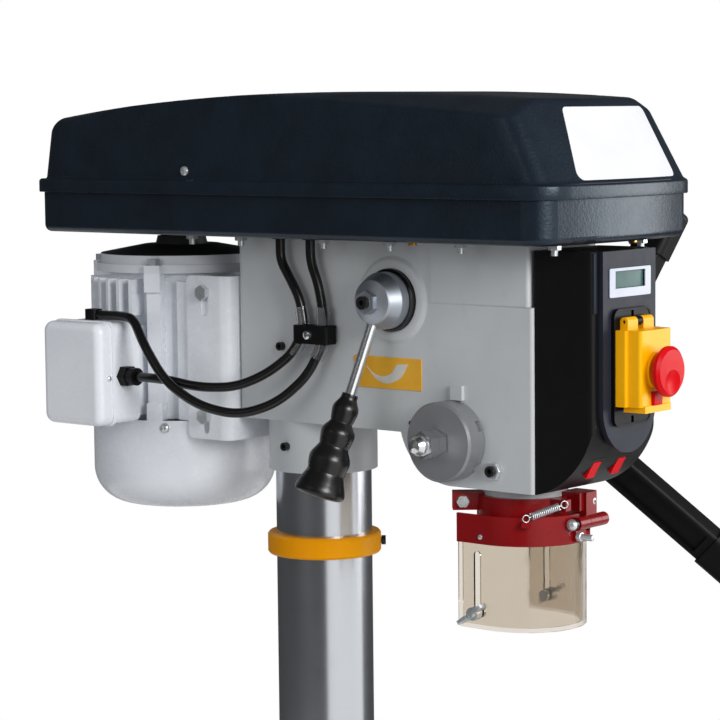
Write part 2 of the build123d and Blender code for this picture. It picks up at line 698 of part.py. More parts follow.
def shift_yoke():
    """Shift rack in front of the lever shaft and the fork in the sliding sheave's groove."""
    pitch_line = LEVER_Y - SHIFT_PITCH_R
    back, low, high, fork_low = pitch_line + SHIFT_MODULE, 868.0, 1055.0, 1047.0
    bar = block(-7, 7, back - 14, back, low, high)
    pitch = pi * SHIFT_MODULE
    cutter = rack_gap(SHIFT_MODULE, 8)
    bar -= [Pos(0, pitch_line, LEVER_Z + k * pitch) * cutter for k in range(-6, 7)]
    fork = block(-26, 26, -THROAT - 14, -THROAT + 34, fork_low, high)
    fork += block(-9, 9, -THROAT + 30, back, fork_low, high)
    open_side = block(-20.5, 20.5, -THROAT - 15, -THROAT, fork_low - 1, high + 1)
    fork -= open_side + rod_z(20.5, fork_low - 1, high + 1, SPINDLE)
    return bar + fork


# Belt drive


def groove_half(radius, belt_r):
    """Half width of a sheave's groove at a radius, for a belt whose middle runs at belt_r."""
    inner_half = BELT_WIDTH / 2 - BELT_THICK * tan(GROOVE_ANGLE)
    return inner_half + GAP + (radius - (belt_r - BELT_THICK / 2)) * tan(GROOVE_ANGLE)


def spindle_pulley():
    """Sleeve with the fixed sheave half."""
    rim, hub = 72.0, 30.0
    rim_z, hub_z = (BELT_Z - groove_half(r, SPINDLE_BELT_R) for r in (rim, hub))
    points = [(SPLINE_R + FIT, 926), (SLEEVE_R, 926), (SLEEVE_R, 984), (24, 984), (rim, 996),
              (rim, rim_z), (hub, hub_z),
              (hub - 4, 1006), (SLEEVE_R, 1006), (SLEEVE_R, 1072), (SPLINE_R + FIT, 1072)]
    return turned(points, SPINDLE)


def sliding_sheave():
    """Sheave half that slides on the sleeve, with the groove for the shift fork."""
    rim, hub, neck = 72.0, 30.0, 20.0
    rim_z, low = (BELT_Z + groove_half(r, SPINDLE_BELT_R) for r in (rim, hub))
    points = [(SLEEVE_R + FIT, low), (hub, low), (rim, rim_z), (rim, 1037), (hub, 1040), (26, 1046),
              (neck, 1046), (neck, 1056), (26, 1056), (26, 1061), (SLEEVE_R + FIT, 1061)]
    return turned(points, SPINDLE)


def motor_pulley():
    """Fixed and sprung sheave halves on the motor shaft, with the spring's cup."""
    rim, hub = 52.0, 20.0
    rim_half, hub_half = (groove_half(r, MOTOR_BELT_R) for r in (rim, hub))
    lower = turned([(SHAFT_R, 984), (20, 984), (rim, 992), (rim, BELT_Z - rim_half),
                    (hub, BELT_Z - hub_half), (SHAFT_R, 1006)], MOTOR)
    upper = turned([(SHAFT_R, 1030), (hub, BELT_Z + hub_half), (rim, BELT_Z + rim_half),
                    (rim, 1039), (18, 1044), (SHAFT_R, 1044)], MOTOR)
    cup = turned([(SHAFT_R, 1062), (28, 1062), (28, 1048), (30, 1048), (30, 1065), (SHAFT_R, 1065)], MOTOR)
    return joined([lower, upper, cup])


def drive_belt():
    """Wide V-belt round both pulleys: two straight runs and two arcs."""
    span = MOTOR_Y + THROAT
    lean = acos((SPINDLE_BELT_R - MOTOR_BELT_R) / span)

    def on_circle(centre_y, radius, side, turn):
        return (side * radius * sin(turn), centre_y - radius * cos(turn), BELT_Z)

    left, right = (on_circle(-THROAT, SPINDLE_BELT_R, s, pi - lean) for s in (-1, 1))
    far_left, far_right = (on_circle(MOTOR_Y, MOTOR_BELT_R, s, pi - lean) for s in (-1, 1))
    path = [ThreePointArc(left, (0, -THROAT - SPINDLE_BELT_R, BELT_Z), right), Line(right, far_right),
            ThreePointArc(far_right, (0, MOTOR_Y + MOTOR_BELT_R, BELT_Z), far_left), Line(far_left, left)]
    wire = Wire([e.edge() for e in path])
    half, thin = BELT_WIDTH / 2, BELT_WIDTH / 2 - BELT_THICK * tan(GROOVE_ANGLE)
    start = wire.position_at(0)
    ahead = wire.tangent_at(0)
    outwards = Vector(left[0], left[1] + THROAT, 0).normalized()
    section_plane = Plane(origin=start, x_dir=outwards, z_dir=ahead)
    up = 1 if section_plane.y_dir.Z > 0 else -1
    inside, outside = -BELT_THICK / 2, BELT_THICK / 2
    points = [(inside, -up * thin), (outside, -up * half), (outside, up * half), (inside, up * thin)]
    return sweep(section_plane * make_face(Polyline(*points, close=True)), path=wire)


def drive_bearings():
    """Ball bearings of the pulley sleeve and of the motor shaft."""
    rings = [tube_z(30, SLEEVE_R + FIT, 927, 943, SPINDLE), tube_z(30, SLEEVE_R + FIT, 955, 971, SPINDLE)]
    rings += [tube_z(26, SHAFT_R + FIT, 935, 950, MOTOR)]
    rings += [tube_z(26, SHAFT_R + FIT, MOTOR_BOTTOM + 2, MOTOR_BOTTOM + 17, MOTOR)]
    return joined(rings)


# Motor


def motor_body():
    """Ribbed barrel with four tie bars, their lugs, and two cast feet for the channel plate."""
    body = rod_z(BARREL_R, MOTOR_BOTTOM, MOTOR_TOP, MOTOR)
    for angle in range(0, 360, 10):
        if not clear_for_rib(angle):
            continue
        low = BOX_Z1 + 4 if 150 <= angle <= 200 else MOTOR_BOTTOM + 8
        rib = block(BARREL_R - 2, RIB_R, -2, 2, low, MOTOR_TOP - 6)
        body += Pos(*MOTOR, 0) * Rot(0, 0, angle) * rib
    for angle in LUG_ANGLES:
        bar = block(BARREL_R - 4, MOTOR_R + 7, -7, 7, MOTOR_BOTTOM, MOTOR_TOP)
        lugs = block(BARREL_R - 4, MOTOR_R + 11, -8, 8, MOTOR_TOP - 18, MOTOR_TOP)
        lugs += block(BARREL_R - 4, MOTOR_R + 10, -8, 8, MOTOR_BOTTOM, MOTOR_BOTTOM + 17)
        body += Pos(*MOTOR, 0) * Rot(0, 0, angle) * (bar + lugs)
    foot_out = PLATE_HALF - PLATE_THICK
    for side in (-1, 1):
        foot = sorted((side * foot_out, side * (foot_out - 9)))
        web = sorted((side * (foot_out - 8), side * (foot_out - 20)))
        body += block(*foot, 80, 131, MOTOR_BOTTOM + 0.5, MOTOR_TOP - 8)
        body += block(*web, 104, 150, MOTOR_BOTTOM + 0.5, MOTOR_TOP - 8)
    body -= rod_z(46, MOTOR_BOTTOM + 18, MOTOR_TOP + 1, MOTOR)
    body -= rod_z(26, MOTOR_BOTTOM + 2, MOTOR_TOP, MOTOR)
    body -= rod_z(SHAFT_R + 1, MOTOR_BOTTOM - 1, MOTOR_TOP, MOTOR)
    for x, y in lug_places():
        body -= rod_z(4, MOTOR_TOP - 3, MOTOR_TOP + 1, (x, y))
    for x in (-PLATE_HALF, PLATE_HALF):
        for z in PLATE_BOLT_Z:
            body -= rod_x(4 + FIT, x - 16, x + 16, PLATE_BOLT_Y, z)
    return body


def clear_for_rib(angle):
    """Ribs leave room for the lugs and for the mounting feet."""
    near_lug = any(abs(angle - lug) < 12 for lug in LUG_ANGLES)
    near_feet = 215 < angle < 325
    return not near_lug and not near_feet


def motor_end_shield():
    """Top end shield with its conical top and four screwed ears."""
    points = [(12, MOTOR_TOP), (84.5, MOTOR_TOP), (84.5, EAR_TOP), (80.5, EAR_TOP),
              (80.5, MOTOR_TOP + 17), (38, CAP_TOP), (26, CAP_TOP), (24, CAP_TOP + 8), (12, CAP_TOP + 8)]
    shield = turned(points, MOTOR)
    for angle in LUG_ANGLES:
        ear = block(MOTOR_R - 4, MOTOR_R + 11, -8, 8, MOTOR_TOP, EAR_TOP)
        shield += Pos(*MOTOR, 0) * Rot(0, 0, angle) * ear
    shield -= rod_z(26, MOTOR_TOP - 1, 950, MOTOR)
    for place in lug_places():
        shield -= rod_z(4.5, MOTOR_TOP - 1, EAR_TOP + 1, place)
        shield -= hex_z(12, EAR_TOP, EAR_TOP + 7, place)
    return shield


def motor_cowl():
    """Fan cowl with a large round bottom edge and a ring of inlet holes."""
    wall, bend = 2.5, 36.0

    def half_section(radius, bottom, corner, top):
        side = Line((radius, top), (radius, bottom + corner))
        middle = (radius - corner + corner * sin(pi / 4), bottom + corner - corner * cos(pi / 4))
        round_edge = ThreePointArc((radius, bottom + corner), middle, (radius - corner, bottom))
        rest = Polyline((radius - corner, bottom), (0, bottom), (0, top), (radius, top))
        return make_face(side.edges() + round_edge.edges() + rest.edges())

    outer = half_section(RIB_R, COWL_BOTTOM, bend, MOTOR_BOTTOM)
    inner = half_section(RIB_R - wall, COWL_BOTTOM + wall, bend - wall, MOTOR_BOTTOM + 1)
    cowl = revolve(Plane.XZ * outer, Axis.Z) - revolve(Plane.XZ * inner, Axis.Z)
    for ring_r, count in ((16, 6), (30, 12), (44, 18)):
        for k in range(count):
            turn = 2 * pi * k / count
            place = (ring_r * cos(turn), ring_r * sin(turn))
            cowl -= rod_z(3.5, COWL_BOTTOM - 1, COWL_BOTTOM + wall + 1, place)
    return Pos(*MOTOR, 0) * cowl


def motor_rotor():
    """Motor shaft with the rotor core and the fan."""
    shaft = rod_z(SHAFT_R, 706, 1067, MOTOR)
    core = tube_z(45, SHAFT_R, 812, 908, MOTOR)
    fan = tube_z(18, SHAFT_R, 708, 742, MOTOR) + tube_z(74, 17, 735, 739, MOTOR)
    for k in range(9):
        fan += Pos(*MOTOR, 0) * Rot(0, 0, 40 * k) * block(24, 72, -1.5, 1.5, 739, 764)
    return joined([shaft, core, fan])


def motor_plate():
    """Channel that carries the motor behind the head, with slotted side flanges."""
    low, high, back = PLATE_BOTTOM, 932.0, PLATE_REAR
    inner = PLATE_HALF - PLATE_THICK
    plate = block(-PLATE_HALF, PLATE_HALF, HEAD_REAR, back, low, high)
    plate = fillet(upright_edges(plate, lambda c: c.Y < HEAD_REAR + 1), 12)
    hollow = block(-inner, inner, HEAD_REAR + 8, back + 1, low - 1, high + 1)
    plate -= fillet(upright_edges(hollow, lambda c: c.Y < HEAD_REAR + 9), 9)
    plate = fillet(plate.edges().filter_by(Axis.X).filter_by(lambda e: e.center().Y > back - 1), 6)
    for z, drop in zip(PLATE_BOLT_Z, (18, 13)):
        plate -= rod_x(4.5, -70, 70, PLATE_BOLT_Y, z) + rod_x(4.5, -70, 70, PLATE_BOLT_Y, z - drop)
        plate -= block(-70, 70, PLATE_BOLT_Y - 4.5, PLATE_BOLT_Y + 4.5, z - drop, z)
    return plate


def terminal_box():
    """Shallow box on a neck that reaches in to the motor's barrel."""
    wall = 3.0
    box = block(BOX_FACE, BOX_BACK, BOX_Y0, BOX_Y1, BOX_Z0, BOX_Z1)
    box = fillet(box.edges().filter_by(Axis.X), 8)
    flange = block(BOX_FACE - 4, BOX_FACE, BOX_Y0 - 2, BOX_Y1 + 2, BOX_Z0 - 2, BOX_Z1 + 2)
    box += fillet(flange.edges().filter_by(Axis.X), 9)
    box -= block(BOX_FACE - 5, BOX_BACK - wall, BOX_Y0 + wall, BOX_Y1 - wall, BOX_Z0 + wall, BOX_Z1 - wall)
    neck = block(BOX_BACK, -60, MOTOR_Y - 21, MOTOR_Y + 22, BOX_Z0 + 4, BOX_Z1 - 6)
    box += neck - rod_z(BARREL_R + 0.02, BOX_Z0 - 5, BOX_Z1 + 5, MOTOR)
    box -= rod_y(6 + FIT, BOX_Y0 - 5, BOX_Y0 + 5, GLAND_X, GLAND_Z)
    return box - rod_z(5 + FIT, BOX_Z1 - 5, BOX_Z1 + 5, (BOOT_X, BOOT_Y))


GLAND_X, GLAND_Z = -118.0, 837.0
BOOT_X, BOOT_Y, BOOT_Z = -106.0, 203.5, 892.9


def terminal_cover():
    face, back = BOX_FACE - 21, BOX_FACE - 4
    cover = block(face, back, BOX_Y0 - 1, BOX_Y1 + 1, BOX_Z0 - 1, BOX_Z1 + 1)
    cover = fillet(cover.edges().filter_by(Axis.X), 10)
    cover = fillet(cover.faces().sort_by(Axis.X)[0].edges(), 8)
    return cover - block(face + 3, back + 1, BOX_Y0 + 9, BOX_Y1 - 9, BOX_Z0 + 9, BOX_Z1 - 9)


def cable_glands():
    """Screwed gland and rubber boot of the terminal box, and two glands under the tray."""
    face = BOX_Y0
    gland = hex_y(18, face - 9, face, GLAND_X, GLAND_Z) + rod_y(8.5, face - 18, face - 8, GLAND_X, GLAND_Z)
    gland += rod_y(6, face - 1, face + 4, GLAND_X, GLAND_Z)
    boot = block(BOOT_X - 7, BOOT_X + 7, BOOT_Y - 8, BOOT_Y + 6, BOX_Z1, BOOT_Z + 5.5)
    boot = fillet(boot.edges().filter_by(Axis.Z), 4)
    boot += rod_z(5, BOX_Z1 - 3, BOX_Z1 + 1, (BOOT_X, BOOT_Y))
    glands = [gland - rod_y(CABLE_R + 0.1, face - 19, face + 5, GLAND_X, GLAND_Z),
              boot - rod_y(CABLE_R + 0.1, BOOT_Y - 9, BOOT_Y, BOOT_X, BOOT_Z)]
    for x, y in tray_entries():
        gland = rod_z(8, HEAD_TOP - 3, HEAD_TOP, (x, y)) + rod_z(7, HEAD_TOP - 1, HEAD_TOP + 6, (x, y))
        glands.append(gland - rod_z(CABLE_R + 0.1, HEAD_TOP - 9, HEAD_TOP + 7, (x, y)))
    return joined(glands)


# Cables


def tray_entries():
    """Places where the two cables enter the tray floor."""
    return [(-64.0, -5.0), (-64.0, -42.0)]


def motor_cable_route():
    """From the front gland of the terminal box, through the clamp, up into the tray."""
    x, y = tray_entries()[0]
    return [(GLAND_X, BOX_Y0 - 5, GLAND_Z), (GLAND_X, 96, GLAND_Z), (-106, 62, 830), (-90, 30, 831),
            (-77, 2, 844), (-66, -21, 864), (-62, -31, 888), (-62, -27, 914), (-63, -15, 934), (x, y, 950),
            (x, y, HEAD_TOP + 6)]


def control_cable_route():
    """From the boot, over the terminal box, below the first cable, through the clamp, into the tray."""
    x, y = tray_entries()[1]
    return [(BOOT_X, BOOT_Y, BOOT_Z), (BOOT_X, 187, BOOT_Z), (-112, 158, 894), (-120, 134, 893),
            (-127, 114, 870), (-126, 88, 836), (-116, 54, 814), (-100, 18, 806), (-84, -16, 818),
            (-70, -42, 844), (-62, -54, 874), (-62, -55, 904), (-63, -50, 930), (x, y, 950),
            (x, y, HEAD_TOP + 6)]


def bend_radii(points):
    """Largest even bends: 0.45 of the shorter run over the tangent of half the turn."""
    radii = []
    for before, here, after in zip(points, points[1:], points[2:]):
        run_in, run_out = Vector(*here) - Vector(*before), Vector(*after) - Vector(*here)
        half_turn = radians(run_in.get_angle(run_out)) / 2
        radii.append(0.45 * min(run_in.length, run_out.length) / tan(half_turn))
    return radii


def cable_path(points):
    """Straight runs joined by tangent arcs."""
    return FilletPolyline(*points, radius=bend_radii(points)).wire()


def round_tube(wire, radius):
    """Solid round tube along a path."""
    section = Plane(origin=wire.position_at(0), z_dir=wire.tangent_at(0)) * Circle(radius)
    return sweep(section, path=wire)


def cable(points):
    """Round cable along its route, with its length and bends printed."""
    wire = cable_path(points)
    tube = round_tube(wire, CABLE_R)
    ideal = pi * CABLE_R ** 2 * wire.length
    print("cable length", round(wire.length, 1), "volume over ideal", round(tube.volume / ideal, 4),
          "radii", [round(r) for r in bend_radii(points)])
    return tube


def cable_clamp():
    """Two-hole saddle clamp on the head's left side, with its screw."""
    low, high = CLAMP_Z - 8.5, CLAMP_Z + 8.5
    clamp = block(-69, -HEAD_HALF, -64, -22, low, high)
    clamp = fillet(clamp.edges().filter_by(Axis.Z), 4)
    for route in (motor_cable_route(), control_cable_route()):
        clamp -= round_tube(cable_path(route), CABLE_R + 0.3)
    screw = turned_x([(0, 69), (4.5, 69), (4, 71.5), (2, 72.5), (0, 72.5)], -42, CLAMP_Z).mirror(Plane.YZ)
    return joined([clamp, screw])


# Belt cover


def cover_outline(inset):
    """Plan of the lip and the tray: straight sides and back, bowed front, round corners."""
    front_r, rear_r = 30.0, 14.0
    side, back, nose = LIP_HALF - inset, LIP_REAR - inset, LIP_FRONT + inset
    sides = Polyline((-side, nose), (-side, back), (side, back), (side, nose))
    curve = ThreePointArc((side, nose), (0, nose - LIP_BOW), (-side, nose))
    plan = make_face(sides.edges() + curve.edges())
    plan = fillet(plan.vertices().sort_by(Axis.Y)[:2], front_r - inset)
    return fillet(plan.vertices().group_by(Axis.Y)[-1], rear_r - inset)


def belt_tray():
    """Pressed tray under the lid, bolted on the head."""
    outer = Pos(0, 0, HEAD_TOP) * extrude(cover_outline(WALL_INSET), LIP_BOTTOM + 6 - HEAD_TOP)
    outer = fillet(outer.faces().sort_by(Axis.Z)[0].edges(), 7)
    inner = Pos(0, 0, HEAD_TOP + 3) * extrude(cover_outline(WALL_INSET + SHEET), 60)
    tray = outer - fillet(inner.faces().sort_by(Axis.Z)[0].edges(), 4.5)
    tray -= rod_z(34, HEAD_TOP - 1, HEAD_TOP + 5, SPINDLE)
    tray -= rod_z(30, HEAD_TOP - 1, HEAD_TOP + 5, MOTOR)
    tray -= block(-12, 12, LEVER_Y - 28, LEVER_Y - 4, HEAD_TOP - 1, HEAD_TOP + 5)
    for place in tray_bolt_places():
        tray -= rod_z(3 + FIT, HEAD_TOP - 1, HEAD_TOP + 5, place)
    for place in tray_entries():
        tray -= rod_z(7 + FIT, HEAD_TOP - 1, HEAD_TOP + 5, place)
    return tray


def lid_plan(level, inset):
    """Plan rectangle of the leaning walls at a height, running past the front."""
    rise = level - LIP_TOP
    half = LID_HALF - LID_SIDE_LEAN * rise - inset
    back = LID_REAR - LID_REAR_LEAN * rise - inset
    front = LID_NOSE - 100
    return Pos(0, (front + back) / 2, level) * Rectangle(2 * half, back - front)


def tall_edges(shape, test):
    """Edges that climb at least 50 and whose middle passes a test."""
    return [e for e in shape.edges() if e.bounding_box().size.Z > 50 and test(e.center())]


def lid_form(inset, bottom):
    """Closed form of the lid: leaning walls, slanted bowed front, arched top and two front facets."""
    high, front_r, rear_r = 1125.0, 14.0, 12.0
    form = loft([lid_plan(bottom, inset), lid_plan(high, inset)], ruled=True)
    axis_y = LID_NOSE + LID_FRONT_R / cos(radians(LID_FRONT_TILT))
    bow = Pos(0, axis_y, LIP_TOP) * Rot(-LID_FRONT_TILT, 0, 0) * Cylinder(LID_FRONT_R - inset, 2400)
    form = form & bow
    form = fillet(tall_edges(form, lambda c: c.Y < LID_NOSE + 120), front_r - inset)
    form = fillet(tall_edges(form, lambda c: c.Y > LID_REAR - 60), rear_r - inset)
    corner_r = 14.0 - inset
    corner_y, corner_z = LID_REAR - 4.5 - inset - corner_r, LID_TOP - 20.7 - inset - corner_r
    diagonal = corner_r * sin(pi / 4)
    rear_round = ThreePointArc((corner_y + corner_r, corner_z), (corner_y + diagonal, corner_z + diagonal),
                               (corner_y, corner_z + corner_r))
    crown, brow = (-70, LID_TOP - inset), (-330, LID_TOP - 9.5 - inset)
    arch = ThreePointArc((corner_y, corner_z + corner_r), crown, brow)
    below = Polyline(brow, (-420, LID_TOP - 14 - inset), (-420, bottom), (LIP_REAR, bottom),
                     (LIP_REAR, corner_z), (corner_y + corner_r, corner_z))
    profile = make_face(rear_round.edges() + arch.edges() + below.edges())
    form = form & Pos(-LIP_HALF, 0, 0) * extrude(Plane.YZ * profile, 2 * LIP_HALF)
    for side in (-1, 1):
        crease_back = Vector(side * 109, -40, 1102 - inset)
        crease_front = Vector(side * 107, -314, 1083.5 - inset)
        ridge = Vector(side * 76, -314, 1097.5 - inset)
        normal = (crease_front - crease_back).cross(ridge - crease_back)
        normal = normal if normal.Z > 0 else -normal
        above = Box(800, 800, 60, align=(Align.CENTER, Align.CENTER, Align.MIN))
        form -= Plane(origin=crease_back, z_dir=normal) * above
    return form


def belt_cover():
    """Hinged lid with its lip and two hinge straps."""
    lip = Pos(0, 0, LIP_BOTTOM) * extrude(cover_outline(0), LIP_TOP - LIP_BOTTOM)
    lip = fillet(lip.faces().sort_by(Axis.Z)[-1].edges(), 3)
    lip -= Pos(0, 0, LIP_BOTTOM - 1) * extrude(cover_outline(SHEET), LIP_TOP - SHEET - LIP_BOTTOM + 1)
    lid = lip + lid_form(0, LIP_TOP - 1)
    lid -= lid_form(SHEET, LIP_TOP - SHEET - 1)
    for y in HINGE_PLACES:
        strap = block(LIP_HALF - 1, LIP_HALF + 2.5, y - 6.7, y + 6.7, HINGE_Z, LIP_TOP - 4)
        knuckle = rod_y(4, y - 6.7, y + 6.7, HINGE_X, HINGE_Z)
        lid += strap + knuckle
        lid -= rod_y(2 + FIT, y - 8, y + 8, HINGE_X, HINGE_Z)
    return lid


def cover_hinges():
    """Fixed hinge leaves on the tray's right wall, with their pins."""
    pieces = []
    wall = LIP_HALF - WALL_INSET
    for y in HINGE_PLACES:
        leaf = block(wall, wall + 2, y - 20, y + 20, HINGE_Z - 22, HINGE_Z)
        for y0, y1 in ((y - 20, y - 7), (y + 7, y + 20)):
            leaf += block(wall, HINGE_X, y0, y1, HINGE_Z - 4, HINGE_Z - 1.5)
            leaf += rod_y(4, y0, y1, HINGE_X, HINGE_Z)
        pieces.append(leaf + rod_y(2, y - 21, y + 21, HINGE_X, HINGE_Z))
    return joined(pieces)


# Front panel


def housing_section(inset):
    """Side view of the panel housing: flat front with a wide bend into its underside."""
    front, top, floor = HOUSING_FRONT + inset, HOUSING_TOP - inset, NOSE_BOTTOM + inset
    rear = HEAD_FRONT - 0.2 + (1 if inset else 0)
    diagonal = inset * sin(pi / 4)
    middle = (BEND_MIDDLE[0] + diagonal, BEND_MIDDLE[1] + diagonal)
    upper = Polyline((BEND_BACK, floor), (rear, floor), (rear, top), (front, top), (front, BEND_TOP))
    bend = ThreePointArc((front, BEND_TOP), middle, (BEND_BACK, floor))
    return make_face(upper.edges() + bend.edges())


def rocker_place():
    """Frame on the housing's bend, Z outwards along its 45 degree normal."""
    return Pos(0, *BEND_MIDDLE) * Rot(135, 0, 0)


def front_housing():
    wall = 3.0
    body = Pos(-HOUSING_HALF, 0, 0) * extrude(Plane.YZ * housing_section(0), 2 * HOUSING_HALF)
    body = fillet(upright_edges(body, lambda c: c.Y < HOUSING_FRONT + 1), 5)
    inner_half = HOUSING_HALF - wall
    body -= Pos(-inner_half, 0, 0) * extrude(Plane.YZ * housing_section(wall), 2 * inner_half)
    for x in ROCKER_X:
        frame = Pos(x, 0, 0) * rocker_place()
        body += frame * (Pos(0, 0, -6) * Box(20, 26, 10))
        body -= frame * (Pos(0, 0, -3) * Box(13, 18.8, 20))
    body -= block(-24, 24, HOUSING_FRONT - 1, HOUSING_FRONT + 4, SWITCH_Z - 38, SWITCH_Z + 34)
    return body


def rocker(x):
    """Rocker key that tips about the X axis in the housing's recess."""
    end = 8.2
    outline = make_face(Polyline((-end, -4), (end, -4), (end, -0.5), (1, 1.0), (-end, 3.6), close=True))
    key = Pos(-6, 0, 0) * extrude(Plane.YZ * outline, 12)
    return Pos(x, 0, 0) * rocker_place() * key


def fascia():
    """Panel plate with a round bottom end."""
    centre = HOUSING_TOP - 136
    plate = block(-FASCIA_HALF, FASCIA_HALF, HOUSING_FRONT - FASCIA_THICK, HOUSING_FRONT, centre, HOUSING_TOP)
    plate += rod_y(FASCIA_HALF, HOUSING_FRONT - FASCIA_THICK, HOUSING_FRONT, 0, centre)
    plate -= block(-24, 24, HOUSING_FRONT - FASCIA_THICK - 1, HOUSING_FRONT + 1, SWITCH_Z - 38, SWITCH_Z + 34)
    plate -= block(-23.5, 23.5, HOUSING_FRONT - FASCIA_THICK - 1, HOUSING_FRONT - 2, 932, 949)
    return plate


def display_bezel():
    face = HOUSING_FRONT - FASCIA_THICK
    frame = block(-31.5, 31.5, face - 1, face, 926, 951)
    frame = fillet(frame.edges().filter_by(Axis.Y), 1.5)
    return frame - block(-23, 23, face - 2, face + 1, 933.5, 948.5)


def switch_base():
    """Flange of the motor switch with the key frame, the hinge lug and its pin."""
    face = HOUSING_FRONT - FASCIA_THICK
    flange = block(-28.5, 28.5, face - 3, face, SWITCH_Z - 51, SWITCH_Z + 51)
    flange = fillet(flange.edges().filter_by(Axis.Y), 8)
    body = flange + block(-23, 23, face, HOUSING_FRONT + 34, SWITCH_Z - 37, SWITCH_Z + 33)
    body += block(-4, 4, SWITCH_HINGE_Y, face - 2, SWITCH_HINGE_Z - 4, SWITCH_HINGE_Z + 4)
    body += rod_x(4, -4, 4, SWITCH_HINGE_Y, SWITCH_HINGE_Z)
    body += rod_x(1.5, -19, 19, SWITCH_HINGE_Y, SWITCH_HINGE_Z)
    body -= block(-16.5, -1.5, face - 4, face + 14, SWITCH_Z - 16, SWITCH_Z + 12)
    for z in (SWITCH_Z - 46, SWITCH_Z + 46):
        body -= block(-2, 2, face - 4, face + 1, z - 3, z + 3)
    return body


def start_key():
    face = HOUSING_FRONT - FASCIA_THICK
    key = block(-16, -2, face - 7, face + 10, SWITCH_Z - 15.5, SWITCH_Z + 11.5)
    return fillet(key.edges().filter_by(Axis.Y), 2)


def switch_lid():
    """Hinged lid over the switch keys, with two ears on the hinge and a guide for the stop button."""
    back, front, half = -355.8, -380.0, 27.0
    low, high = SWITCH_Z - 33, SWITCH_Z + 33
    skirt = block(-half, half, back - 11, back, low, high)
    lid = fillet(upright_edges(skirt, lambda c: c.Y < back - 9), 2)
    hood = block(-half + 3, half - 3, front, back - 1, low, high)
    lid += fillet(upright_edges(hood, lambda c: c.Y < front + 1), 3)
    lid -= block(-half + 5.5, half - 5.5, front + 3, back + 1, low + 2.5, high - 2.5)
    for x0, x1 in ((-20, -4.4), (4.4, 20)):
        ear = block(x0, x1, SWITCH_HINGE_Y - 4, SWITCH_HINGE_Y + 4, high - 2, SWITCH_HINGE_Z)
        lid += ear + rod_x(4, x0, x1, SWITCH_HINGE_Y, SWITCH_HINGE_Z)
    lid -= rod_x(1.5 + FIT, -21, 21, SWITCH_HINGE_Y, SWITCH_HINGE_Z)
    lid += block(-20, 20, front - 2, back - 4, low - 5, low + 1)
    lid += rod_y(16, front - 3, front, 0, BUTTON_Z)
    lid -= rod_y(9 + 0.1, front - 4, front + 4, 0, BUTTON_Z)
    return lid


def stop_button():
    """Mushroom stop button: stem and dished head."""
    face = 397.0
    points = [(0, 374), (9, 374), (9, 389), (20, 389), (22, 391), (22, 394), (19, 396.5), (10, face),
              (0, face)]
    button = turned_y(points, 0, BUTTON_Z)
    dish = Pos(0, -face - 20.6, BUTTON_Z - 10.5) * Sphere(24)
    return button - dish


# Drill guard


def bent_wall(outer, inner, z0, z1, rear=GUARD_REAR):
    """U-shaped wall round the spindle axis, open to the rear."""
    form = rod_z(outer, z0, z1, SPINDLE) + block(-outer, outer, -THROAT, rear, z0, z1)
    wall = form - bent_core(inner, z0 - 1, z1 + 1)
    return wall - block(-outer - 1, outer + 1, rear, -THROAT + outer + 1, z0 - 1, z1 + 1)


def guard_ring():
    """Split clamp ring on the head's boss, with clamp ears and the hinge arm."""
    low, high, outer = BOSS_BOTTOM, BOSS_BOTTOM + 20, 44.0
    ring = rod_z(outer, low, high, SPINDLE)
    arm_x0, arm_x1 = 8.0, 24.0
    ring += block(arm_x0 - 6, arm_x1 + 4, -THROAT - 58, -THROAT - 36, low + 8, high + 4)
    ring += block(arm_x0, arm_x1, GUARD_HINGE_Y, -THROAT - 54, GUARD_HINGE_Z, high + 4)
    ring += rod_x(6, arm_x0, arm_x1, GUARD_HINGE_Y, GUARD_HINGE_Z)
    ring += block(-18, -10, -THROAT - 57, -THROAT - 38, low + 10, high)
    ears = block(36, 66, -9, 9, low + 6, high + 2)
    ring += Pos(*SPINDLE, 0) * Rot(0, 0, 130) * ears
    ring -= rod_z(BOSS_R + 0.02, low - 1, high + 10, SPINDLE)
    ring -= Pos(*SPINDLE, 0) * Rot(0, 0, 130) * block(30, 70, -1.5, 1.5, low - 1, high + 3)
    ring -= rod_x(3 + 0.02, arm_x0 - 1, arm_x1 + 1, GUARD_HINGE_Y, GUARD_HINGE_Z)
    screw_x, screw_z = 57.0, low + 14
    screw = rod_y(3, -15, 14, screw_x, screw_z)
    screw += hex_y(10, -13, -9, screw_x, screw_z) + hex_y(10, 9, 13, screw_x, screw_z)
    screw = Pos(*SPINDLE, 0) * Rot(0, 0, 130) * screw
    return joined([ring - screw, screw])


def guard_holder():
    """U-shaped holder that hangs on the hinge and carries the clear walls."""
    low, high, inner = 704.0, 730.0, GUARD_R - 2.5
    wall = bent_wall(GUARD_R, inner, low, high)
    wall -= block(1, 31, -THROAT - GUARD_R - 1, -THROAT - 40, 712, high + 1)
    for x0, x1, bottom in ((-8, 7.6, low + 2), (24.4, 35, GUARD_HINGE_Z - 6)):
        knuckle = rod_x(6, x0, x1, GUARD_HINGE_Y, GUARD_HINGE_Z)
        knuckle += block(x0, x1, GUARD_HINGE_Y, GUARD_HINGE_Y + 18, bottom, GUARD_HINGE_Z)
        wall += knuckle - bent_core(inner, low - 5, high + 5)
    wall -= rod_x(5.5, -16, -8.3, GUARD_HINGE_Y, GUARD_HINGE_Z)
    wall -= rod_x(3.5, 35.3, 42, GUARD_HINGE_Y, GUARD_HINGE_Z)
    for side in (-1, 1):
        wall += rod_x(4, *sorted((side * 51.4, side * (GUARD_R - 1))), -231, 716)
    wall += Pos(*SPINDLE, 0) * Rot(0, 0, 216.5) * block(GUARD_R - 2, 65, -4, 4, 722, 726.9)
    return wall - rod_x(3 + FIT, -9, 36, GUARD_HINGE_Y, GUARD_HINGE_Z)


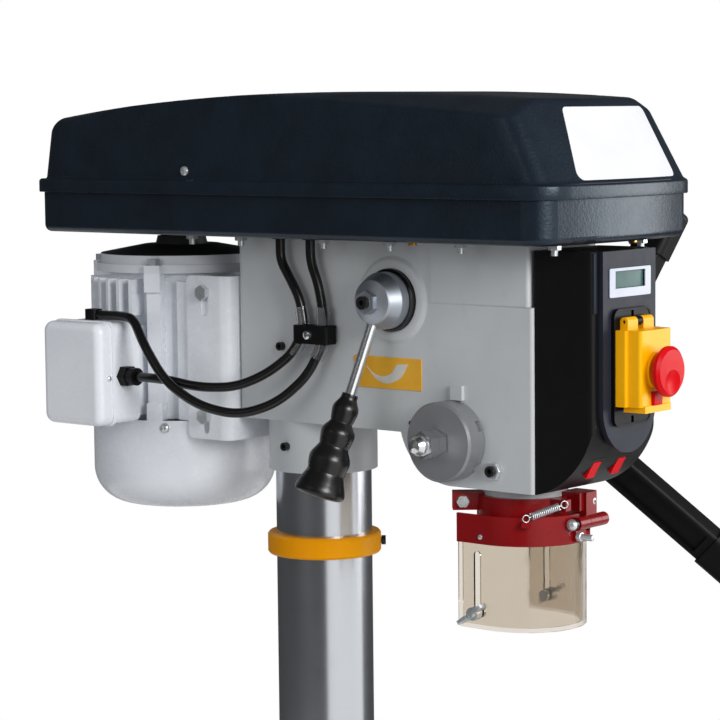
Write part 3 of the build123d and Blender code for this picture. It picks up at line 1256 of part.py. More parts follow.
def bent_core(inner, z0, z1):
    """Space inside a U-shaped wall."""
    return rod_z(inner, z0, z1, SPINDLE) + block(-inner, inner, -THROAT, GUARD_REAR + 1, z0, z1)


def guard_liner():
    liner = bent_wall(51.4, 49.4, 630, 722, GUARD_REAR - 2)
    return liner - rod_x(2.9 + FIT, -60, 60, WING_Y, WING_Z)


def guard_shield():
    shield = bent_wall(54.6, 52.4, SHIELD_BOTTOM, 704, GUARD_REAR + 1)
    slot = block(-60, 60, WING_Y - 3.5, WING_Y + 3.5, WING_Z, WING_Z + SHIELD_TRAVEL)
    slot += rod_x(3.5, -60, 60, WING_Y, WING_Z) + rod_x(3.5, -60, 60, WING_Y, WING_Z + SHIELD_TRAVEL)
    return shield - slot


def guard_wing_nuts():
    """Bolts through the liner and the shield's slots, with wing nuts outside."""
    nuts = []
    for side in (-1, 1):
        bolt = rod_x(2.9, *sorted((side * 48, side * 66)), WING_Y, WING_Z)
        bolt += rod_x(5, *sorted((side * 46.4, side * 49.4)), WING_Y, WING_Z)
        nut = rod_x(6, *sorted((side * 55, side * 63)), WING_Y, WING_Z)
        for turn in (-35, 145):
            wing = block(*sorted((side * 57, side * 69)), 4, 17, -1.5, 1.5)
            wing = fillet(wing.edges().filter_by(Axis.Z).group_by(Axis.Y)[-1], 5)
            nut += Pos(0, WING_Y, WING_Z) * Rot(turn, 0, 0) * wing
        nuts.append(bolt + nut)
    return joined(nuts)


def guard_spring():
    """Closed outer form of the extension spring between the holder and the ring."""
    start, end = Vector(-50, -277, 730), Vector(-21.5, -298, 741)
    run = end - start
    return extrude(Plane(origin=start, z_dir=run) * Circle(2.8), run.length)


PARTS = {
    "base": base, "column_foot": column_foot, "column": column, "rack_ring": rack_ring,
    "head_casting": head_casting, "cap_screws": cap_screws, "hex_bolts": hex_bolts,
    "belt_tray": belt_tray, "cover_hinges": cover_hinges, "motor_body": motor_body,
    "motor_end_shield": motor_end_shield, "motor_cowl": motor_cowl, "motor_plate": motor_plate,
    "terminal_box": terminal_box, "terminal_cover": terminal_cover, "cable_glands": cable_glands,
    "motor_cable": lambda: cable(motor_cable_route()), "control_cable": lambda: cable(control_cable_route()),
    "cable_clamp": cable_clamp, "drive_bearings": drive_bearings, "drive_belt": drive_belt,
    "spring_cap": spring_cap, "return_spring": return_spring, "speed_collar": speed_collar,
    "front_housing": front_housing, "fascia": fascia, "display_bezel": display_bezel,
    "switch_base": switch_base, "guard_ring": guard_ring, "motor_rotor": motor_rotor,
    "motor_pulley": motor_pulley, "spindle_pulley": spindle_pulley, "sliding_sheave": sliding_sheave,
    "shift_yoke": shift_yoke, "quill": quill, "spindle_bearings": spindle_bearings, "spindle": spindle,
    "feed_shaft": feed_shaft, "feed_hub": feed_hub, "feed_spokes": feed_spokes, "depth_ring": depth_ring,
    "speed_hub": speed_hub, "speed_rod": speed_rod, "speed_grip": speed_grip, "belt_cover": belt_cover,
    "switch_lid": switch_lid, "stop_button": stop_button, "start_key": start_key,
    "rocker_left": lambda: rocker(ROCKER_X[0]), "rocker_right": lambda: rocker(ROCKER_X[1]),
    "guard_holder": guard_holder, "guard_liner": guard_liner, "guard_shield": guard_shield,
    "guard_wing_nuts": guard_wing_nuts, "guard_spring": guard_spring, "table_rack": table_rack,
    "table_bracket": table_bracket, "table": table, "table_crank": table_crank,
    "table_lock_lever": table_lock_lever,
}


def main():
    os.makedirs("parts", exist_ok=True)
    for name, make in PARTS.items():
        export_step(make(), f"parts/{name}.step")


main()
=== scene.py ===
import json
from math import cos, pi, radians, sin, sqrt, tan

import bmesh
import bpy
import numpy as np
from mathutils import Matrix, Vector


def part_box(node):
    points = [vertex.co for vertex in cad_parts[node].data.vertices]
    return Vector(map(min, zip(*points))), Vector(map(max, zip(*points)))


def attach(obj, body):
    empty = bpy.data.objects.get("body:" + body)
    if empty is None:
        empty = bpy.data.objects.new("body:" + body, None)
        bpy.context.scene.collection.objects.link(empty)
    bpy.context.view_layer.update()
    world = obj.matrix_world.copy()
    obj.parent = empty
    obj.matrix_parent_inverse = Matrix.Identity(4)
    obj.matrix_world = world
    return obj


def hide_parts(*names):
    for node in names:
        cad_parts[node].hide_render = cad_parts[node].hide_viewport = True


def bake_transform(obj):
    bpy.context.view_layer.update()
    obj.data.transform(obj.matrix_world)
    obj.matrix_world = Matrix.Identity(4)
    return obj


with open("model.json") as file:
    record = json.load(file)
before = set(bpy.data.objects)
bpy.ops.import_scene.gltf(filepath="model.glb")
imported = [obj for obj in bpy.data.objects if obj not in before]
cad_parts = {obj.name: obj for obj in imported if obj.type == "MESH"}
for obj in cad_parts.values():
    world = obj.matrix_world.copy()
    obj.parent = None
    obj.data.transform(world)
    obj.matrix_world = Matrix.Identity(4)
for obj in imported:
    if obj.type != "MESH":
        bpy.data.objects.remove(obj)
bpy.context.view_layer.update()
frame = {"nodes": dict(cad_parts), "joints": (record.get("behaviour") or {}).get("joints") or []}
nodes = frame["nodes"]

MM = 0.001
TAU = 2 * pi


# Places that the frame gives, in millimetres


def joint_place(name):
    """Where a joint's axis is."""
    joint = next(row for row in frame["joints"] if row["name"] == name)
    return np.round(np.array(joint["pos_m"]) / MM, 3)


def node_box(name):
    """Lowest and highest corners of a CAD node."""
    return [np.round(np.array(corner) / MM, 3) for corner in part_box(name)]


LEVER_AXIS, FEED_AXIS = joint_place("speed_lever_turn")[1:], joint_place("feed_turn")[1:]
SPINDLE_Y, MOTOR_Y = joint_place("spindle_spin")[1], joint_place("motor_spin")[1]
COVER_AXIS, GUARD_AXIS = joint_place("cover_swing")[[0, 2]], joint_place("guard_swing")[1:]
HEAD_SIDE = node_box("cable_clamp")[1][0]
TRAY_UNDERSIDE = node_box("belt_tray")[0][2]


# Surfaces: arrays of points in millimetres, put into meshes in metres


def unit(v):
    """Vectors divided by their lengths."""
    v = np.asarray(v, float)
    return v / np.linalg.norm(v, axis=-1, keepdims=True)


def loop_of(corners, radii, per_corner=8):
    """Closed plane loop: each corner becomes an arc, tangent to both its sides, of that radius."""
    corners = np.asarray(corners, float)
    rows = []
    for here, before, after, radius in zip(corners, np.roll(corners, 1, 0), np.roll(corners, -1, 0), radii):
        ahead, back = unit(after - here), unit(before - here)
        half = np.arccos(np.clip(ahead @ back, -1, 1)) / 2
        middle = here + unit(ahead + back) * radius / np.sin(half)
        start, end = here + back * radius / np.tan(half), here + ahead * radius / np.tan(half)
        share = np.linspace(0, 1, per_corner)[:, None]
        spread = pi - 2 * half
        from_start, from_end = np.sin((1 - share) * spread), np.sin(share * spread)
        rows.append(middle + (from_start * (start - middle) + from_end * (end - middle)) / np.sin(spread))
    return np.concatenate(rows)


def dense(loop, step=4.0):
    """Closed loop with points added along sides longer than a step."""
    rows = []
    for here, after in zip(loop, np.roll(loop, -1, 0)):
        count = max(1, int(np.ceil(np.linalg.norm(after - here) / step)))
        rows.append(here + (after - here) * (np.arange(count) / count)[:, None])
    return np.concatenate(rows)


def inset_loop(loop, distance):
    """Plane loop moved inwards along its corner bisectors; the loop runs anticlockwise."""
    before, after = unit(loop - np.roll(loop, 1, 0)), unit(np.roll(loop, -1, 0) - loop)
    normal_in = np.stack([-(before + after)[:, 1], (before + after)[:, 0]], 1)
    bisector = unit(normal_in)
    straight = np.stack([-before[:, 1], before[:, 0]], 1)
    return loop + bisector * distance / np.clip((bisector * straight).sum(1, keepdims=True), 0.4, 1)


class Surface:
    """Points and faces of one piece, gathered from grids and caps."""

    def __init__(self):
        self.points, self.faces, self.count = [], [], 0

    def grid(self, points, wrap_rows=False, wrap_cols=True):
        """Quads between neighbouring points of a rows by columns grid."""
        points = np.asarray(points, float)
        rows, cols = points.shape[:2]
        r, c = np.indices((rows - (not wrap_rows), cols - (not wrap_cols)))
        down, across = (r + 1) % rows, (c + 1) % cols
        quads = np.stack([r * cols + c, r * cols + across, down * cols + across, down * cols + c], -1)
        self.faces += (quads.reshape(-1, 4) + self.count).tolist()
        self.points.append(points.reshape(-1, 3))
        self.count += rows * cols
        return self

    def cap(self, loop):
        """One face on a closed loop."""
        self.faces.append(list(range(self.count, self.count + len(loop))))
        self.points.append(np.asarray(loop, float))
        self.count += len(loop)
        return self

    def piece(self, name, body, finish, slot, flat_angle=35, replaces=()):
        """The finished object: doubles merged, faces outwards, smooth except at edges past flat_angle."""
        mesh = bpy.data.meshes.new(name)
        mesh.from_pydata((np.concatenate(self.points) * MM).tolist(), [], self.faces)
        work = bmesh.new()
        work.from_mesh(mesh)
        bmesh.ops.remove_doubles(work, verts=work.verts, dist=2e-6)
        bmesh.ops.dissolve_degenerate(work, edges=work.edges, dist=1e-7)
        bmesh.ops.recalc_face_normals(work, faces=work.faces)
        for face in work.faces:
            face.smooth = True
        for edge in work.edges:
            edge.smooth = len(edge.link_faces) == 2 and edge.calc_face_angle(0) < radians(flat_angle)
        work.to_mesh(mesh)
        work.free()
        made = bpy.data.objects.new(name, mesh)
        bpy.context.scene.collection.objects.link(made)
        made.data.materials.append(finish)
        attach(made, body)
        if replaces:
            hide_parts(*replaces)
        return made


def placed(local, origin, x_axis, y_axis, z_axis):
    """Local points carried into a frame given by its origin and three axes."""
    return np.asarray(origin, float) + np.asarray(local, float) @ np.array([x_axis, y_axis, z_axis], float)


def on_left(local, at):
    """Local points with their Z axis pointing out of the machine's left side (-X) and their Y axis up."""
    return placed(local, at, (0, -1, 0), (0, 0, 1), (-1, 0, 0))


def on_front(local, at):
    """Local points with their Z axis pointing out of the machine's front (-Y) and their Y axis up."""
    return placed(local, at, (1, 0, 0), (0, 0, 1), (0, -1, 0))


def lathe(profile, segments=48):
    """Grid of a profile of (radius, height) carried round the Z axis."""
    profile = np.asarray(profile, float)
    turn = np.arange(segments) * TAU / segments
    radius, height = profile[:, :1], profile[:, 1:]
    return np.stack([radius * np.cos(turn), radius * np.sin(turn), height + 0 * turn], -1)


def lifted(loop, z):
    """Plane loop set at one height."""
    return np.column_stack([loop, np.full(len(loop), z)])


def plate(loop, thickness, edge):
    """Grid of a plate on Z = 0 with a plane outline: its wall, then a quarter round of radius edge."""
    turn = np.linspace(0, pi / 2, 5)
    levels = [(0.0, 0.0)] + [(edge * (1 - cos(a)), thickness - edge + edge * sin(a)) for a in turn]
    return np.stack([lifted(inset_loop(loop, i) if i else loop, z) for i, z in levels])


def tube(path, radius, segments=12):
    """Grid of circles carried along a path, each square to it, with the least twist from one to the next."""
    path = np.asarray(path, float)
    ahead = unit(np.gradient(path, axis=0))
    side = np.empty_like(path)
    start = np.array([0.0, 0, 1]) if abs(ahead[0, 2]) < 0.9 else np.array([1.0, 0, 0])
    side[0] = unit(np.cross(ahead[0], start))
    for k in range(1, len(path)):
        side[k] = unit(side[k - 1] - (side[k - 1] @ ahead[k]) * ahead[k])
    up = np.cross(ahead, side)
    turn = np.arange(segments) * TAU / segments
    ring = side[:, None] * np.cos(turn)[:, None] + up[:, None] * np.sin(turn)[:, None]
    return path[:, None] + ring * radius


def hexagon(flats):
    """Corners of a hexagon sized across its flats."""
    turn = np.arange(6) * TAU / 6
    return np.stack([np.cos(turn), np.sin(turn)], 1) * flats / sqrt(3)


# Finishes: shader maths as Python expressions


class Value:
    """A shader socket; its operators add Math nodes."""

    def __init__(self, finish, socket):
        self.finish, self.socket = finish, socket

    def math(self, operation, first, second):
        return self.finish.node("ShaderNodeMath", {"operation": operation}, {0: first, 1: second})

    def __add__(self, other):
        return self.math("ADD", self, other)

    def __sub__(self, other):
        return self.math("SUBTRACT", self, other)

    def __rsub__(self, other):
        return self.math("SUBTRACT", other, self)

    def __mul__(self, other):
        return self.math("MULTIPLY", self, other)

    def __pow__(self, other):
        return self.math("POWER", self, other)

    __radd__, __rmul__ = __add__, __mul__

    def between(self, low, high):
        """The value carried from low..high to 0..1, smooth at both ends."""
        ends = {"Value": self, "From Min": low, "From Max": high, "To Min": 0.0, "To Max": 1.0}
        return self.finish.node("ShaderNodeMapRange", {"interpolation_type": "SMOOTHSTEP"}, ends)


class Finish:
    """One material: its shader, with constants set on the sockets, and the patterns that feed it."""

    def __init__(self, name, **constants):
        self.material = bpy.data.materials.new(name)
        self.material.use_nodes = True
        self.tree = self.material.node_tree
        self.shader = self.tree.nodes["Principled BSDF"]
        for key, value in constants.items():
            self.shader.inputs[key.replace("_", " ")].default_value = value
        self.place = self.node("ShaderNodeTexCoord", output="Object")

    def node(self, kind, settings=None, inputs=None, output=0):
        """A node of a kind, with its settings, then the values or links of its sockets."""
        made = self.tree.nodes.new(kind)
        for key, value in (settings or {}).items():
            setattr(made, key, value)
        for key, value in (inputs or {}).items():
            if isinstance(value, Value):
                self.tree.links.new(value.socket, made.inputs[key])
            else:
                made.inputs[key].default_value = value
        return Value(self, made.outputs[output])

    def spot(self, stretch):
        """The place on the piece, stretched along its axes."""
        return self.node("ShaderNodeMapping", {}, {"Vector": self.place, "Scale": stretch})

    def noise(self, size, detail=3.0, rough=0.5, stretch=(1, 1, 1), warp=0.0):
        """Cloudy pattern from 0 to 1 whose lumps are about size millimetres."""
        values = {"Vector": self.spot(stretch), "Scale": 1 / (size * MM), "Detail": detail}
        return self.node("ShaderNodeTexNoise", {}, {**values, "Roughness": rough, "Distortion": warp})

    def cells(self, size, feature="SMOOTH_F1"):
        """Distance from the nearest of points about size millimetres apart."""
        values = {"Vector": self.place, "Scale": 1 / (size * MM)}
        return self.node("ShaderNodeTexVoronoi", {"feature": feature}, values)

    def turned(self, across, along):
        """Noise over two distances, for the lines that a turning tool leaves."""
        spread = self.node("ShaderNodeCombineXYZ", {}, {0: across, 1: along})
        return self.node("ShaderNodeTexNoise", {}, {"Vector": spread, "Scale": 1.0, "Detail": 3.0})

    def axis_value(self, axis):
        """One coordinate of the place, in millimetres."""
        return self.node("ShaderNodeSeparateXYZ", {}, {0: self.place}, axis) * (1 / MM)

    def reach(self, first, first_at, second, second_at):
        """Distance in millimetres from a line along the third axis through that place."""
        one, two = self.axis_value(first) - first_at, self.axis_value(second) - second_at
        return (one * one + two * two) ** 0.5

    def vector(self, operation, first, second=(0, 0, 0), output=0):
        """Vector Math of two vectors."""
        return self.node("ShaderNodeVectorMath", {"operation": operation}, {0: first, 1: second}, output)

    def line_places(self, point, ahead):
        """Distances in millimetres from a line through a point, and along it from that point."""
        offset = self.vector("SUBTRACT", self.place, tuple(np.multiply(point, MM)))
        ahead = tuple(unit(ahead))
        away = self.vector("LENGTH", self.vector("CROSS_PRODUCT", offset, ahead), output="Value")
        along = self.vector("DOT_PRODUCT", offset, ahead, "Value")
        return away * (1 / MM), along * (1 / MM)

    def blend(self, share, first, second):
        """Colour from first to second by a share."""
        return self.node("ShaderNodeMix", {"data_type": "RGBA"}, {0: share, 6: first, 7: second}, 2)

    def surface(self, tone, rough, inlay):
        """Feeds colour and roughness; an inlay's colour, roughness and metal take over where its share is 1."""
        if inlay:
            where, colour, gloss, metallic = inlay
            share = where(self)
            tone = self.blend(share, tone, colour)
            rough = rough * (1.0 - share) + share * gloss
            bare = self.shader.inputs["Metallic"].default_value
            self.feed("Metallic", share * (metallic - bare) + bare)
        self.feed("Base Color", tone)
        self.feed("Roughness", rough)

    def feed(self, socket, value):
        """Links a value to one of the shader's sockets."""
        self.tree.links.new(value.socket, self.shader.inputs[socket])

    def bump(self, height, depth, under=None):
        """Surface relief of a height from 0 to 1 over depth millimetres, on another relief if given."""
        values = {"Height": height, "Distance": depth * MM, "Strength": 1.0}
        if under:
            values["Normal"] = under
        return self.node("ShaderNodeBump", {}, values)


def rgb(red, green, blue):
    """Colour written as eight-bit display values, in the shader's linear scale."""
    display = np.array([red, green, blue]) / 255
    linear = np.where(display > 0.04045, ((display + 0.055) / 1.055) ** 2.4, display / 12.92)
    return (*linear, 1.0)


def paint(name, colour, shade, rough=0.38, peel=2.2, depth=0.03, inlay=None, ridge=None, **constants):
    """Sprayed paint: slow drift of tone, dust in patches and orange peel.

    A ridge is a height function and its depth, and lies under the orange peel."""
    made = Finish(name, **constants)
    drift = made.noise(90, 2.0).between(0.3, 0.7)
    dust = made.noise(22, 5.0, 0.65).between(0.52, 0.78)
    tone = made.blend(drift * 0.6 + dust * 0.35, colour, shade)
    made.surface(tone, made.noise(14, 4.0, 0.6) * 0.14 + dust * 0.08 + (rough - 0.1), inlay)
    relief = made.noise(peel, 2.0) * 0.75 + made.noise(peel * 4, 1.0) * 0.25
    under = made.bump(ridge[0](made), ridge[1]) if ridge else None
    made.feed("Normal", made.bump(relief, depth, under=under))
    return made.material


def moulded(name, colour, shade, rough=0.4, grain=0.9, depth=0.03, inlay=None, **constants):
    """Moulded plastic: fine spark-eroded grain, faint flow clouds and rubbed patches."""
    made = Finish(name, **constants)
    flow = made.noise(60, 3.0, 0.55, warp=0.6).between(0.3, 0.75)
    rubbed = made.noise(18, 5.0, 0.6).between(0.5, 0.8)
    tone = made.blend(flow * 0.7 + rubbed * 0.3, colour, shade)
    made.surface(tone, made.noise(9, 3.0) * 0.12 + rubbed * -0.06 + (rough - 0.05), inlay)
    made.feed("Normal", made.bump(made.cells(grain) * 0.6 + made.noise(grain * 0.8, 2.0) * 0.4, depth))
    return made.material


def metal(name, colour, shade, lines, rough=0.3, depth=0.012, stain=0.35, haze=0.12, inlay=None, **constants):
    """Bare metal: tool lines given by a function of the finish, soft stains and a slow change of gloss."""
    made = Finish(name, **{"Metallic": 1.0, **constants})
    marks = lines(made)
    film = made.noise(35, 5.0, 0.6, warp=0.4).between(0.45, 0.8)
    tone = made.blend(film * stain + marks * 0.25, colour, shade)
    made.surface(tone, marks * 0.16 + film * haze + (rough - 0.08), inlay)
    made.feed("Normal", made.bump(marks, depth))
    return made.material


def hoops(made):
    """Grinding lines round an upright bar: noise drawn out level, with fine bands in height."""
    drawn = made.noise(60, 4.0, 0.7, stretch=(0.5, 0.5, 160))
    bands = made.noise(9, 2.0, 0.5, stretch=(1, 1, 12))
    return drawn * 0.7 + bands * 0.3


def sideways(made):
    """Short scratches in every direction."""
    one = made.noise(8, 4.0, 0.7, stretch=(1, 12, 1))
    two = made.noise(8, 4.0, 0.7, stretch=(12, 1, 1))
    return one * 0.5 + two * 0.5


def rings_about_x(y, z, pitch):
    """Turning lines: noise over the distance from an axis along X and over the place along it."""
    return lambda made: made.turned(made.reach(1, y, 2, z) * (1 / pitch), made.axis_value(0) * (0.6 / pitch))


def rings_about_z(y, pitch):
    """Turning lines: noise over the distance from an upright axis and over the height."""
    return lambda made: made.turned(made.reach(0, 0.0, 1, y) * (1 / pitch), made.axis_value(2) * (0.8 / pitch))


def crystals(made):
    """Bright zinc: small leaf-shaped patches."""
    return made.cells(1.6, "F1") * 0.7 + made.noise(3.0, 4.0, 0.7) * 0.5


def clear(name, tint, rough):
    """Clear sheet: smears that spread the light a little, and a faint rippled surface."""
    made = Finish(name, **{"Transmission_Weight": 1.0, "IOR": 1.35, "Base_Color": tint})
    smear = made.noise(16, 5.0, 0.65, stretch=(1, 1, 0.35), warp=0.8).between(0.45, 0.85)
    made.feed("Roughness", smear * 0.22 + rough)
    made.feed("Normal", made.bump(made.noise(30, 2.0), 0.25))
    return made.material


def cast_ridge(made):
    """Parting line of the casting: a step in height that starts in front of the lever's boss."""
    return made.axis_value(2).between(915.0, 917.2) * made.axis_value(1).between(-166, -176)


def screw_line(made):
    """Share on the clamp screw's ends: near its line, and outside the guard ring's ears on both sides."""
    near, along = made.line_places((-36.6, -196.3, 738), (-0.766, -0.643, 0))
    return near.between(6.3, 6.0) * (along * along).between(81.6, 83.2)


ZINC = rgb(206, 210, 210)
# Upper cone of the motor's end shield in dark grey: partly its own dark finish, partly painted shade from the
# belt tray above it
CONE_DARK_AND_SHADE = (lambda made: made.axis_value(2).between(949.4, 950.2), rgb(44, 44, 46), 0.5, 0.0)
SOCKET_END = (lambda made: made.axis_value(0).between(-92.2, -92.5), rgb(20, 20, 21), 0.35, 0.0)
CLAMP_SCREW = (lambda made: made.axis_value(0).between(-69.05, -69.2), ZINC, 0.24, 1.0)
RING_SCREW = (screw_line, ZINC, 0.26, 1.0)

FINISHES = {
    "cast": paint("cast_paint", rgb(196, 197, 196), rgb(180, 181, 179), 0.42, 3.0, 0.1, Specular_IOR_Level=0.4),
    "head": paint("head_paint", rgb(196, 199, 201), rgb(180, 183, 184), 0.42, 3.0, 0.1, ridge=(cast_ridge, 1.0),
                  Specular_IOR_Level=0.4),
    "cover": moulded("cover_grain", rgb(25, 33, 43), rgb(18, 24, 32), 0.3, 2.6, 0.2, Specular_IOR_Level=0.36,
                     Specular_Tint=(0.7, 0.86, 1.0, 1)),
    "white": paint("white_paint", rgb(236, 239, 244), rgb(222, 226, 233), 0.3, 2.4, 0.03,
                   Specular_IOR_Level=0.5),
    # The end shield's paint with its upper cone darkened: its own dark finish and painted shade under the tray
    "shield": paint("end_shield_paint", rgb(226, 229, 234), rgb(208, 211, 217), 0.36, 2.4, 0.035, CONE_DARK_AND_SHADE),
    "ground": metal("ground_steel", rgb(204, 207, 212), rgb(180, 183, 188), hoops, 0.22, 0.006, 0.1, 0.02),
    "oiled": metal("oiled_steel", rgb(176, 176, 174), rgb(120, 116, 108), sideways, 0.34),
    "milled": metal("milled_iron", rgb(158, 158, 156), rgb(124, 122, 118), sideways, 0.5, 0.02, Metallic=0.5),
    "hub": metal("turned_hub", rgb(174, 180, 188), rgb(146, 151, 158), rings_about_x(*LEVER_AXIS, 0.5), 0.44,
                 inlay=SOCKET_END),
    "ring": metal("turned_ring", rgb(200, 202, 204), rgb(168, 170, 172), rings_about_x(*FEED_AXIS, 0.5), 0.34),
    "sheave": metal("turned_sheave", rgb(196, 198, 200), rgb(160, 162, 164),
                    rings_about_z(SPINDLE_Y, 0.6), 0.36),
    "small_sheave": metal("turned_motor_sheave", rgb(196, 198, 200), rgb(160, 162, 164),
                          rings_about_z(MOTOR_Y, 0.6), 0.36),
    "bright": metal("bright_bar", rgb(224, 226, 228), rgb(200, 202, 204), sideways, 0.22, 0.006, 0.1, 0.03),
    "zinc": metal("zinc_plate", rgb(214, 218, 220), rgb(184, 190, 194), crystals, 0.3, 0.012, 0.2, 0.06,
                  Metallic=0.75),
    "brass": metal("brass", rgb(206, 160, 84), rgb(160, 116, 52), sideways, 0.3),
    "cap": paint("cap_paint", rgb(142, 144, 147), rgb(126, 128, 131), 0.4, 2.0, 0.03, Metallic=0.4),
    "oxide": paint("black_oxide", rgb(28, 28, 29), rgb(18, 18, 19), 0.4, 1.2, 0.02),
    "cable": moulded("cable_sheath", rgb(14, 14, 15), rgb(9, 9, 10), 0.24, 1.4, 0.008, Specular_IOR_Level=0.45),
    "belt": moulded("belt_rubber", rgb(30, 30, 30), rgb(20, 20, 20), 0.7, 0.8, 0.05),
    "black": moulded("black_moulding", rgb(13, 13, 14), rgb(8, 8, 9), 0.46, 0.7, 0.03, Specular_IOR_Level=0.15),
    "clamp": moulded("clamp_moulding", rgb(13, 13, 14), rgb(8, 8, 9), 0.46, 0.7, 0.03, CLAMP_SCREW,
                     Specular_IOR_Level=0.15),
    "grip": moulded("grip_gloss", rgb(16, 16, 17), rgb(10, 10, 11), 0.28, 3.0, 0.01, Specular_IOR_Level=0.5),
    "panel": moulded("panel_grey", rgb(34, 38, 49), rgb(27, 31, 41), 0.45, 0.7, 0.025, Specular_IOR_Level=0.15),
    "switch": moulded("switch_black", rgb(12, 12, 14), rgb(8, 8, 10), 0.42, 0.7, 0.02, Specular_IOR_Level=0.12),
    "bezel": moulded("bezel_silver", rgb(186, 192, 206), rgb(172, 178, 193), 0.4, 0.8, 0.02),
    "yellow": moulded("yellow_moulding", rgb(248, 180, 0), rgb(240, 164, 0), 0.34, 1.2, 0.015,
                      Specular_IOR_Level=0.2),
    "red": moulded("red_moulding", rgb(204, 12, 22), rgb(188, 8, 16), 0.34, 1.2, 0.015,
                   Specular_IOR_Level=0.08),
    "green": moulded("green_moulding", rgb(40, 128, 66), rgb(30, 108, 54), 0.36, 1.2, 0.015),
    "ring_paint": paint("ring_paint", rgb(240, 160, 0), rgb(224, 142, 0), 0.34, 2.4, 0.04,
                        Specular_IOR_Level=0.15),
    "guard": paint("guard_paint", rgb(138, 9, 14), rgb(112, 5, 9), 0.32, 2.2, 0.035, RING_SCREW,
                   Specular_IOR_Level=0.3),
    "clear": clear("clear_sheet", (0.76, 0.71, 0.64, 1), 0.03),
    "sleeve": clear("clear_sleeve", (0.92, 0.93, 0.95, 1), 0.1),
    "glass": moulded("display_face", rgb(64, 98, 95), rgb(50, 80, 78), 0.3, 6.0, 0.01, Specular_IOR_Level=0.15),
    "label": moulded("blank_label", rgb(230, 231, 233), rgb(221, 222, 225), 0.36, 1.0, 0.01, Coat_Weight=0.1),
    "plate_yellow": moulded("plate_yellow", rgb(228, 170, 42), rgb(214, 154, 32), 0.34, 1.0, 0.01),
    "plate_grey": moulded("plate_grey", rgb(206, 203, 196), rgb(190, 187, 180), 0.36, 1.0, 0.01),
}

NODE_FINISH = {
    "cast": "base column_foot table_bracket",
    "head": "head_casting",
    "cover": "belt_tray belt_cover",
    "white": "motor_body motor_cowl motor_plate terminal_box terminal_cover",
    "shield": "motor_end_shield",
    "ground": "column quill",
    "oiled": "spindle table_rack drive_bearings spindle_bearings return_spring motor_rotor shift_yoke",
    "milled": "table",
    "hub": "speed_hub",
    "bright": "speed_rod feed_shaft",
    "ring": "depth_ring",
    "sheave": "spindle_pulley sliding_sheave",
    "small_sheave": "motor_pulley",
    "cap": "spring_cap",
    "zinc": "hex_bolts guard_wing_nuts guard_spring cover_hinges",
    "oxide": "cap_screws table_lock_lever table_crank",
    "cable": "motor_cable control_cable speed_collar",
    "belt": "drive_belt",
    "black": "cable_glands front_housing feed_spokes feed_hub",
    "clamp": "cable_clamp",
    "grip": "speed_grip",
    "panel": "fascia",
    "switch": "switch_base",
    "bezel": "display_bezel",
    "yellow": "switch_lid",
    "red": "stop_button rocker_left rocker_right",
    "green": "start_key",
    "ring_paint": "rack_ring",
    "guard": "guard_ring guard_holder",
    "clear": "guard_liner guard_shield",
}


def dress_nodes():
    """Gives every CAD node its finish."""
    for finish, names in NODE_FINISH.items():
        for name in names.split():
            mesh = nodes[name].data
            mesh.materials.clear()
            mesh.materials.append(FINISHES[finish])


dress_nodes()


# Belt cover

COVER_LOW, COVER_HIGH = node_box("belt_cover")
LIP_LOW, LIP_TOP = 1012.0, 1025.0
LIP_HALF, LIP_NOSE, LIP_REAR, LIP_BOW = -COVER_LOW[0], COVER_LOW[1], COVER_HIGH[1], 14
LIP_STEP = 6
LID_HALF, LID_NOSE, LID_REAR = LIP_HALF - LIP_STEP, LIP_NOSE + LIP_STEP, LIP_REAR - LIP_STEP
SIDE_LEAN, REAR_LEAN, FRONT_LEAN = 0.075, 0.1, radians(30)
FRONT_TURN, REAR_TURN = 14, 12
BOW_DEPTH, BOW_HALF = 629.3, 545
COVER_SHEET = 2.5


def circle_through(a, b, c):
    """Centre and radius of the circle through three plane points."""
    a, b, c = np.array([a, b, c], float)
    matrix = 2 * np.array([b - a, c - a])
    centre = np.linalg.solve(matrix, [b @ b - a @ a, c @ c - a @ a])
    return centre[0], centre[1], np.linalg.norm(a - centre)


LID_ARCH = circle_through((244.5, 1084.3), (-70, 1105), (-330, 1095.5))
CREASE = np.array([109.0, -40, 1102])
FACET = unit(np.cross(np.array([76.0, -314, 1097.5]) - CREASE, np.array([107.0, -314, 1083.5]) - CREASE))


def round_meet(a, b, radius):
    """Distance to the common part of two forms, with the edge where they meet rounded."""
    both = np.hypot(np.maximum(a + radius, 0), np.maximum(b + radius, 0))
    return np.minimum(np.maximum(a, b), -radius) + both


def lid_front(x, rise):
    """Y of the lid's slanted front, bowed as an ellipse, by the place across it and the rise above the lip."""
    share = np.minimum(np.abs(x) / BOW_HALF, 0.9)
    return LID_NOSE + rise * tan(FRONT_LEAN) + BOW_DEPTH * (1 - np.sqrt(1 - share ** 2))


def lid_walls(p):
    """Distance outside the lid's leaning side, rear and front walls, with round upright corners."""
    x, y, rise = np.abs(p[..., 0]), p[..., 1], p[..., 2] - LIP_TOP
    side, rear = x - LID_HALF + rise * SIDE_LEAN, y - LID_REAR + rise * REAR_LEAN
    front = (lid_front(x, rise) - y) * cos(FRONT_LEAN)
    return np.maximum(round_meet(side, front, FRONT_TURN), round_meet(side, rear, REAR_TURN))


def lip_walls(p):
    """Distance outside the upright lip."""
    x, y = np.abs(p[..., 0]), p[..., 1]
    side, front = x - LIP_HALF, LIP_NOSE + LIP_BOW * (x / LIP_HALF) ** 2 - y
    return np.maximum(round_meet(side, front, 30), round_meet(side, y - LIP_REAR, 14))


def lid_top(p):
    """Distance above the arched top and its two front facets, with a soft crease between them."""
    arch = np.hypot(p[..., 1] - LID_ARCH[0], p[..., 2] - LID_ARCH[1]) - LID_ARCH[2]
    folded = np.concatenate([np.abs(p[..., :1]), p[..., 1:]], -1)
    return round_meet(arch, (folded - CREASE) @ (FACET * np.sign(FACET[2])), 3)


